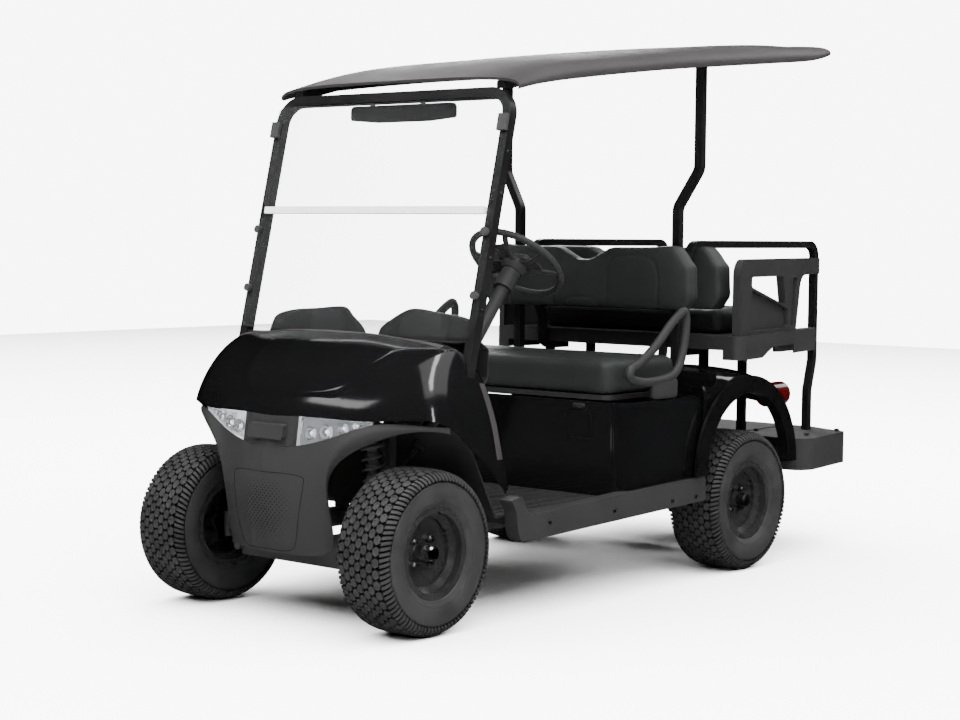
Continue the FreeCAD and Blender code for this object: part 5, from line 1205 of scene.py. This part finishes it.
class CART_OT_grille(bpy.types.Operator):
    """Lay the grille's dimples on the fascia as near-black discs of painted shade, and sink its
    panel line into it
    """

    bl_idname = "cart.grille"
    bl_label = "Grille"

    def execute(self, context):
        pitch = sizes().hole_pitch
        tall = GRILLE_HIGH - GRILLE_LOW
        centre = (GRILLE_LOW + GRILLE_HIGH) / 2
        shade_discs = []
        for number in range(int(tall / (pitch * 0.5))):
            z = GRILLE_LOW + GRILLE_BAND + number * pitch * 0.5
            if z > GRILLE_HIGH - 0.012:
                break
            share = (z - GRILLE_LOW) / tall
            half = GRILLE_FOOT + (GRILLE_HEAD - GRILLE_FOOT) * share - GRILLE_BAND
            places = int(half / pitch) + 1
            for x in (pitch * (k + 0.5 * (number % 2)) for k in range(-places, places + 1)):
                away = math.hypot(x / half, (z - centre) / (tall / 2 - 0.004))
                radius = DIMPLE * max(0.0, 1 - 0.72 * away ** 2.2)
                if abs(x) <= half and radius >= LEAST_DIMPLE:
                    spot, normal = front_on("front_fascia", x, z)
                    # Each dimple is a thin near-black disc on the fascia: painted shade in place of
                    # a hollow.
                    shade_discs.append(turned(spot, normal, (
                        (0, 0.0004), (radius, 0.0004), (radius * 1.12, 0.0001),
                        (0, -0.0006)), 10))
        piece("grille_dimple_shade", shade_discs, "hollow")
        line = drawn(GRILLE_OUTLINE, 60)
        half = GRILLE_HEAD + 0.006 + (GRILLE_FOOT - GRILLE_HEAD) * line[:, 1]
        x = line[:, 0] * half
        z = GRILLE_HIGH + 0.004 - (tall + 0.016) * line[:, 1]
        around = list(zip(x, z))
        around += [(-a, b) for a, b in reversed(around[:-1])]
        piece("grille_line", [groove("front_fascia", around, FAR_AHEAD, 0.0011, 0.0002)],
              "hollow")
        return {"FINISHED"}


def line_at(points, count):
    """A smooth line through points given in millimetres by station, sampled by its length."""
    line = drawn(np.array(points, float) / 1000, 400)
    length = lengths(line)
    even = np.linspace(0, length[-1], count)
    line = np.stack([np.interp(even, length, line[:, k]) for k in range(3)], axis=-1)
    return line + np.array((0, MIDDLE_Y, 0))


# The hood's raised edge: its crest, and the foot of the step inside it.
HOOD_CREST = ((-221, -790, 873), (-191, -862, 835), (-169, -919, 787), (-145, -954, 746),
              (-106, -970, 727), (-37, -976, 725), (52, -975, 724), (131, -968, 725),
              (185, -957, 731), (227, -936, 751), (273, -896, 785), (310, -846, 821),
              (330, -788, 856), (337, -741, 876))
HOOD_FOOT = ((-197, -770, 882), (-159, -867, 837), (-142, -927, 783), (-120, -951, 748),
             (-85, -963, 740), (25, -971, 734), (108, -966, 733), (161, -955, 742),
             (215, -923, 771), (256, -878, 807), (290, -825, 840), (308, -745, 880))
# The front border of the cowl's rear trim: the left half over the hood, and down the side.
TRIM_TOP = ((0, -764, 896), (59, -763, 896), (141, -752, 895), (211, -740, 892),
            (326, -728, 881), (400, -731, 870), (446, -728, 860))
TRIM_SIDE = ((521, -627, 757), (540, -595, 642), (552, -574, 517))
# Rays for the hood's edge are aimed at the heart of the cowl.
COWL_HEART = (0.0, -0.45, 0.50)
# Across the hood's edge, from its crest at 0 to its foot at 1: places, and the rise in mm.
HOOD_ACROSS = np.array(((-1.9, -0.8), (-1.5, 0.9), (-1.1, 2.9), (-0.7, 5.1), (-0.4, 6.6),
                        (-0.2, 7.3), (-0.08, 7.4), (0.0, 7.2), (0.08, 6.4), (0.2, 5.0),
                        (0.5, 2.4), (0.8, 0.9), (0.95, 0.5), (1.1, 0.3), (1.4, 0.0),
                        (1.7, -0.8)))
# Rows along the edge, those over which it fades at either end, and how deep it sinks there.
HOOD_ROWS = 110
FADE_ROWS = 22
HOOD_SINK = 0.0008


class CART_OT_hood(bpy.types.Operator):
    """Raise the hood's edge over the cowl"""

    bl_idname = "cart.hood"
    bl_label = "Hood"

    def execute(self, context):
        crest = line_at(HOOD_CREST, HOOD_ROWS)
        foot = line_at(HOOD_FOOT, HOOD_ROWS)
        aims = crest[:, None] + (foot - crest)[:, None] * HOOD_ACROSS[None, :, :1]
        from_end = np.minimum(np.arange(HOOD_ROWS), np.arange(HOOD_ROWS)[::-1])
        fade = np.clip(from_end / FADE_ROWS, 0, 1)
        fade = fade * fade * (3 - 2 * fade)
        lift = (HOOD_ACROSS[None, :, 1] / 1000 + HOOD_SINK) * fade[:, None] - HOOD_SINK
        heart = at(*COWL_HEART)
        forms = [skin("front_cowl", heart + (aims - heart) * 1.6, heart - aims, lift)]
        piece("hood_edge", forms, "gloss_panel", smooth=60.0)
        return {"FINISHED"}


# Rays start this far off the cowl; its skin is followed rearwards in steps, up to a limit.
STAND_OFF = 0.15
STEP_BACK = 0.002
FURTHEST_BACK = 0.06


def room_behind(node, spot, way):
    """How far a node's skin goes on rearwards from a spot on it."""
    last = np.array(spot)
    for number in range(int(FURTHEST_BACK / STEP_BACK)):
        start = spot + np.array((0, number * STEP_BACK, 0)) - way * STAND_OFF
        try:
            hit = land(node, start, way)[0]
        except LookupError:
            return number * STEP_BACK
        if np.linalg.norm(hit - last) > 0.02 and number:
            return number * STEP_BACK
        last = hit
    return FURTHEST_BACK


# The trim from its front border, at 0, to its rear one, at 1: places, and the rise in mm; how
# many neighbours even out its width; and how far it stays off the cowl's border.
TRIM_ACROSS = np.array(((0.0, -0.9), (0.05, 1.3), (0.13, 2.0), (0.5, 2.2), (0.87, 2.0),
                        (0.95, 1.3), (1.0, -0.9)))
TRIM_NEAR = 6
TRIM_OFF = 0.003


def with_neighbours(values):
    """A row of values, and copies of it moved up to TRIM_NEAR places both ways."""
    wide = np.pad(values, TRIM_NEAR, mode="edge")
    return [wide[k:k + len(values)] for k in range(2 * TRIM_NEAR + 1)]


class CART_OT_cowl_trim(bpy.types.Operator):
    """Lay the grained trim along the cowl's rear border"""

    bl_idname = "cart.cowl_trim"
    bl_label = "Cowl trim"

    def execute(self, context):
        half = line_at(TRIM_TOP, 61)
        side = line_at(TRIM_SIDE, 41)
        mirror = np.array((-1, 1, 1))
        forms = [self.strip(line) for line in (np.vstack((half[:0:-1] * mirror, half)),
                                               side, side * mirror)]
        piece("cowl_rear_trim", forms, "roof_skin", smooth=40.0)
        return {"FINISHED"}

    def strip(self, line):
        """A raised band from a line on the cowl back to just short of the cowl's border."""
        ways = line * np.array((-0.25, 0, -1)) + np.array((0, 0, 0.55))
        ways[:, 2] = np.minimum(ways[:, 2], 0)
        ways = unit(ways)
        room = np.array([room_behind("front_cowl", *pair) for pair in zip(line, ways)])
        room = np.min(with_neighbours(room), axis=0)
        room = np.mean(with_neighbours(room), axis=0) - TRIM_OFF
        back = np.array((0, 1, 0)) * (room[:, None] * TRIM_ACROSS[None, :, 0])[..., None]
        ways = np.broadcast_to(ways[:, None], back.shape)
        starts = line[:, None] + back - ways * STAND_OFF
        lift = np.broadcast_to(TRIM_ACROSS[None, :, 1] / 1000, starts.shape[:2])
        return skin("front_cowl", starts, ways, lift, rounds=2)


# The dash rims: the top line of each across and up, the level that both rise from, and the
# section that they share, by station and share of the rise.
RIM_TOPS = {
    "passenger": ((-0.455, 0.879), (-0.444, 0.915), (-0.420, 0.938), (-0.345, 0.954),
                  (-0.240, 0.962), (-0.126, 0.970), (-0.090, 0.945), (-0.044, 0.905),
                  (-0.030, 0.875)),
    "driver": ((0.045, 0.875), (0.056, 0.910), (0.110, 0.944), (0.170, 0.970),
               (0.215, 0.973), (0.280, 0.966), (0.400, 0.952), (0.436, 0.930), (0.452, 0.877)),
}
RIM_FOOT = 0.872
RIM_SECTION = np.array(((-0.584, -0.02), (-0.582, 0.0), (-0.570, 0.93), (-0.563, 1.0),
                        (-0.551, 1.0), (-0.545, 0.95), (-0.534, 0.0), (-0.532, -0.02)))


class CART_OT_dash_rims(bpy.types.Operator):
    """Raise the two rims at the back of the dash, left and right of the column"""

    bl_idname = "cart.dash_rims"
    bl_label = "Dash rims"

    def execute(self, context):
        for name, outline in RIM_TOPS.items():
            line = drawn(outline, 60)
            rise = np.maximum(line[:, 1] - RIM_FOOT, 0.002)[:, None] * RIM_SECTION[None, :, 1]
            body = np.stack((np.broadcast_to(line[:, :1], rise.shape),
                             np.broadcast_to(RIM_SECTION[None, :, 0] + MIDDLE_Y, rise.shape),
                             RIM_FOOT + rise), axis=-1)
            piece(f"dash_rim_{name}", [capped(body)], "grained_trim",
                  smooth=40.0)
        return {"FINISHED"}


class CART_OT_pod_panel(bpy.types.Operator):
    """Draw the access panel and its latch on the front of the seat pod"""

    bl_idname = "cart.pod_panel"
    bl_label = "Pod panel"

    def execute(self, context):
        outline = oval((0.3615, 0.568), (0.0555, 0.045), 72, 0.28)
        line = groove("seat_pod", outline, CABIN_FLOOR_MIDDLE, 0.0012, 0.0003)
        piece("pod_panel_line", [line], "hollow")
        spot, _ = front_on("seat_pod", 0.3645, 0.634, CABIN_FLOOR_MIDDLE)
        latch = pillow(spot, (0.0255, 0.006, 0.008), 0.4)
        piece("pod_latch", [latch], "black_trim", smooth=40.0)
        return {"FINISHED"}


# Lenses of the left headlamp: where they sit across and up, and their radius; then the profiles
# of a bowl and of its core, as shares of that radius and heights.
LENSES = ((0.160, 0.603, 0.021), (0.215, 0.609, 0.024), (0.272, 0.622, 0.018),
          (0.315, 0.632, 0.012))
BOWL = ((0, 0), (0.3, 0.0004), (0.72, 0.0045), (1, 0.0125), (1.08, 0.0128), (1.04, 0.0105),
        (0.75, 0.0022), (0, -0.0012))
CORE = ((0, 0.0005), (0.36, 0.0005), (0.36, 0.004), (0.25, 0.0085), (0, 0.0105))
LENS_DEPTH = 0.0195


class CART_OT_lamps(bpy.types.Operator):
    """Fill the headlamps with bowls and cores"""

    bl_idname = "cart.lamps"
    bl_label = "Lamps"

    def execute(self, context):
        for side, sign in SIDES:
            bowls = []
            cores = []
            for x, z, radius in LENSES:
                spot, normal = front_on("headlamps", sign * x, z)
                back = spot - normal * LENS_DEPTH
                for forms, profile, steps in ((bowls, BOWL, 28), (cores, CORE, 20)):
                    forms.append(turned(back, normal, [(r * radius, h) for r, h in profile],
                                        steps))
            piece(f"lamp_bowls_{side}", bowls, "silvered")
            piece(f"lamp_cores_{side}", cores, "core")
        return {"FINISHED"}


# Cabin floor.


# The mat's ribs: the stations where they start and end, their half length, and their section.
MAT_STATIONS = (-0.44, 0.075)
MAT_HALF = 0.47
RIB = ((-0.0042, -0.0005), (0.0042, -0.0005), (0.003, 0.0024), (-0.003, 0.0024))


class CART_OT_mat(bpy.types.Operator):
    """Lay the ribs of the floor mat"""

    bl_idname = "cart.mat"
    bl_label = "Floor mat"

    def execute(self, context):
        pitch = sizes().rib_pitch
        start, end = (station + MIDDLE_Y for station in MAT_STATIONS)
        forms = []
        for number in range(int((end - start) / pitch)):
            y = start + pitch * (number + 0.5)
            spots = [land("floor_pan", (x, y, 0.6), (0, 0, -1))[0]
                     for x in np.linspace(-MAT_HALF, MAT_HALF, 13)]
            forms.append(swept(spots, RIB, (0, 0, 1)))
        piece("mat_ribs", forms, "floor_mat")
        return {"FINISHED"}


# Small metal parts.


# Screws along the rockers by station, and up the struts by height; bolts of the step by
# distance from the middle and by station. Rays to the screws start ASIDE of the cart, and the
# strut leans back by STRUT_LEAN a metre about a place in its middle.
ROCKER_SCREWS = (-0.33, 0.02, 0.36, 0.505)
STRUT_SCREWS = (0.98, 1.14, 1.34, 1.47)
STEP_BOLTS = ((0.250, 1.412), (0.250, 1.646), (0.480, 1.412), (0.480, 1.646))
ASIDE = 0.9
STRUT_LEAN = 0.239
STRUT_MIDDLE = (-0.556, 1.22)


class CART_OT_fasteners(bpy.types.Operator):
    """Set the bolts and screws that hold trim, step and roof"""

    bl_idname = "cart.fasteners"
    bl_label = "Fasteners"

    def execute(self, context):
        dark = []
        bright = []
        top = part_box("rear_step")[1].z
        station, level = STRUT_MIDDLE
        for _, sign in SIDES:
            for y in ROCKER_SCREWS:
                spot, normal = land("rockers", at(sign * ASIDE, y, 0.30), (-sign, 0, 0))
                dark.append(button_head(spot, normal, 0.0075))
            for x, y in STEP_BOLTS:
                dark += bolt_head(at(sign * x, y, top), (0, 0, 1), 0.017, 0.007)
            for z in STRUT_SCREWS:
                spot, normal = land("front_struts", at(
                    sign * ASIDE, station + (z - level) * STRUT_LEAN, z), (-sign, 0, 0))
                bright.append(button_head(spot, normal, 0.005))
        piece("dark_fasteners", dark, "cast")
        piece("bright_fasteners", bright, "zinc")
        return {"FINISHED"}


# Coil springs: the station of both ends, the turns, steps a turn, radius of coil and of wire.
SPRING_STATION = -0.835
SPRING_TURNS = 7
TURN_STEPS = 26
SPRING_RADIUS = 0.0335
SPRING_WIRE = 0.0048


class CART_OT_springs(bpy.types.Operator):
    """Wind the coil springs round the front dampers"""

    bl_idname = "cart.springs"
    bl_label = "Coil springs"

    def execute(self, context):
        for side, sign in SIDES:
            foot = at(sign * 0.288, SPRING_STATION, 0.36)
            head = at(sign * 0.268, SPRING_STATION, 0.585)
            ahead, first, second = axes_about(head - foot)
            t = np.linspace(0, 1, SPRING_TURNS * TURN_STEPS)[:, None]
            turn = t * SPRING_TURNS * 2 * math.pi
            path = (foot + t * (head - foot)
                    + SPRING_RADIUS * (np.cos(turn) * first + np.sin(turn) * second))
            piece(f"coil_{side}", [rod(path, SPRING_WIRE, 8, ahead)], "chassis_paint")
        return {"FINISHED"}


# Stage.


# The camera: its place by station, its turn, drop and roll in degrees, and its focal length in
# pixels of a picture PHOTO_WIDTH wide.
CAMERA_SPOT = (4.340, -5.191, 1.220)
CAMERA_TURN = 39.90
CAMERA_DROP = 3.77
CAMERA_ROLL = 0.569
FOCAL_PIXELS = 1944.57
PHOTO_WIDTH = 960
SENSOR = 36.0
# Lights: name, spot, width, height, power, and whether they show in gloss too.
LIGHTS = (
    ("sky_light", (0, 0.1, 9.0), 26.0, 26.0, 31000, False),
    ("side_light", (6.4, -4.6, 2.6), 4.0, 2.4, 120, False),
    ("broad_light", (2.2, -0.8, 5.0), 4.4, 4.4, 60, True),
    ("top_strip", (1.6, -1.2, 4.4), 0.5, 3.4, 40, True),
    ("nose_strip", (-1.4, -4.6, 3.4), 2.2, 0.6, 14, True),
    ("flank_strip", (4.6, -3.4, 2.6), 0.3, 2.2, 24, True),
    ("rear_strip", (-3.8, 4.2, 3.2), 2.4, 1.0, 120, True),
    ("tail_box", (1.2, 6.4, 5.0), 4.0, 2.4, 80, True),
)
# Where the lights look, the floor's half width, and the strength of the light from all round.
HEART = (0, 0.1, 0.8)
FLOOR_REACH = 14
WORLD_STRENGTH = 8.0


def soft_box(name, spot, width, height, power, shines):
    """A rectangular light turned to look at the heart of the cart."""
    data = bpy.data.lights.new(name, "AREA")
    data.shape = "RECTANGLE"
    data.size = width
    data.size_y = height
    data.energy = power
    item = linked(name, data)
    item.visible_glossy = shines
    item.location = spot
    way = Vector(HEART) - Vector(spot)
    item.rotation_euler = way.to_track_quat("-Z", "Y").to_euler()


class CART_OT_stage(bpy.types.Operator):
    """Set the camera, the pale floor and the studio lights"""

    bl_idname = "cart.stage"
    bl_label = "Stage"

    def execute(self, context):
        scene = context.scene
        turn, drop, roll = (math.radians(a) for a in (CAMERA_TURN, CAMERA_DROP, CAMERA_ROLL))
        ahead = Vector((-math.sin(turn) * math.cos(drop), math.cos(turn) * math.cos(drop),
                        -math.sin(drop)))
        right = ahead.cross(Vector((0, 0, 1))).normalized()
        over = right.cross(ahead).normalized()
        right2 = right * math.cos(roll) + over * math.sin(roll)
        over2 = over * math.cos(roll) - right * math.sin(roll)
        data = bpy.data.cameras.new("photo_camera")
        data.sensor_fit = "HORIZONTAL"
        data.sensor_width = SENSOR
        data.lens = FOCAL_PIXELS * SENSOR / PHOTO_WIDTH
        data.clip_end = 100.0
        camera = linked("photo_camera", data)
        turned_axes = Matrix((right2, over2, -ahead)).transposed().to_4x4()
        camera.matrix_world = Matrix.Translation(Vector(at(*CAMERA_SPOT))) @ turned_axes
        scene.camera = camera

        world = bpy.data.worlds.new("studio")
        world.use_nodes = True
        backdrop = world.node_tree.nodes["Background"].inputs
        backdrop["Color"].default_value = (1, 1, 1, 1)
        backdrop["Strength"].default_value = WORLD_STRENGTH
        world.cycles_visibility.glossy = False
        world.cycles_visibility.diffuse = False
        scene.world = world

        mesh = bpy.data.meshes.new("floor")
        corners = [(FLOOR_REACH * x, FLOOR_REACH * y, 0)
                   for x, y in ((-1, -1), (1, -1), (1, 1), (-1, 1))]
        mesh.from_pydata(corners, [], [(0, 1, 2, 3)])
        floor = linked("floor", mesh)
        paint = Paint("floor_finish", Roughness=0.9)
        paint.shader.inputs["Specular IOR Level"].default_value = 0.0
        tone = paint.noise(0.4, 2.0)
        paint.feed("Base Color", paint.blend(tone, (0.86, 0.86, 0.86), (0.9, 0.9, 0.9)))
        mesh.materials.append(paint.material)
        floor.visible_glossy = False

        for light in LIGHTS:
            soft_box(*light)
        return {"FINISHED"}


class CART_PT_panel(bpy.types.Panel):
    """The cart's builders and what they use"""

    bl_label = "Golf cart"
    bl_idname = "CART_PT_panel"
    bl_space_type = "VIEW_3D"
    bl_region_type = "UI"
    bl_category = "Golf cart"

    def draw(self, context):
        for group in (context.scene.cart_looks, context.scene.cart_sizes):
            for key in group.bl_rna.properties.keys():
                if key not in ("rna_type", "name"):
                    self.layout.prop(group, key)
        for builder in BUILDERS:
            self.layout.operator(builder.bl_idname)


BUILDERS = (CART_OT_stage, CART_OT_finishes, CART_OT_tyres, CART_OT_wheel_parts,
            CART_OT_cushions, CART_OT_hip_restraints, CART_OT_steering_wheel, CART_OT_grille,
            CART_OT_hood, CART_OT_cowl_trim, CART_OT_dash_rims, CART_OT_pod_panel,
            CART_OT_lamps, CART_OT_mat, CART_OT_springs, CART_OT_fasteners)
GROUPS = (CartLooks, CartSizes)


def register():
    """Make the groups, builders and panel known."""
    for kind in GROUPS + BUILDERS + (CART_PT_panel,):
        bpy.utils.register_class(kind)
    bpy.types.Scene.cart_looks = bpy.props.PointerProperty(type=CartLooks)
    bpy.types.Scene.cart_sizes = bpy.props.PointerProperty(type=CartSizes)


def unregister():
    """Take them away again."""
    del bpy.types.Scene.cart_sizes
    del bpy.types.Scene.cart_looks
    for kind in reversed(GROUPS + BUILDERS + (CART_PT_panel,)):
        bpy.utils.unregister_class(kind)


def main():
    """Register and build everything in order."""
    register()
    for builder in BUILDERS:
        group, verb = builder.bl_idname.split(".")
        getattr(getattr(bpy.ops, group), verb)()


if __name__ == "__main__":
    main()
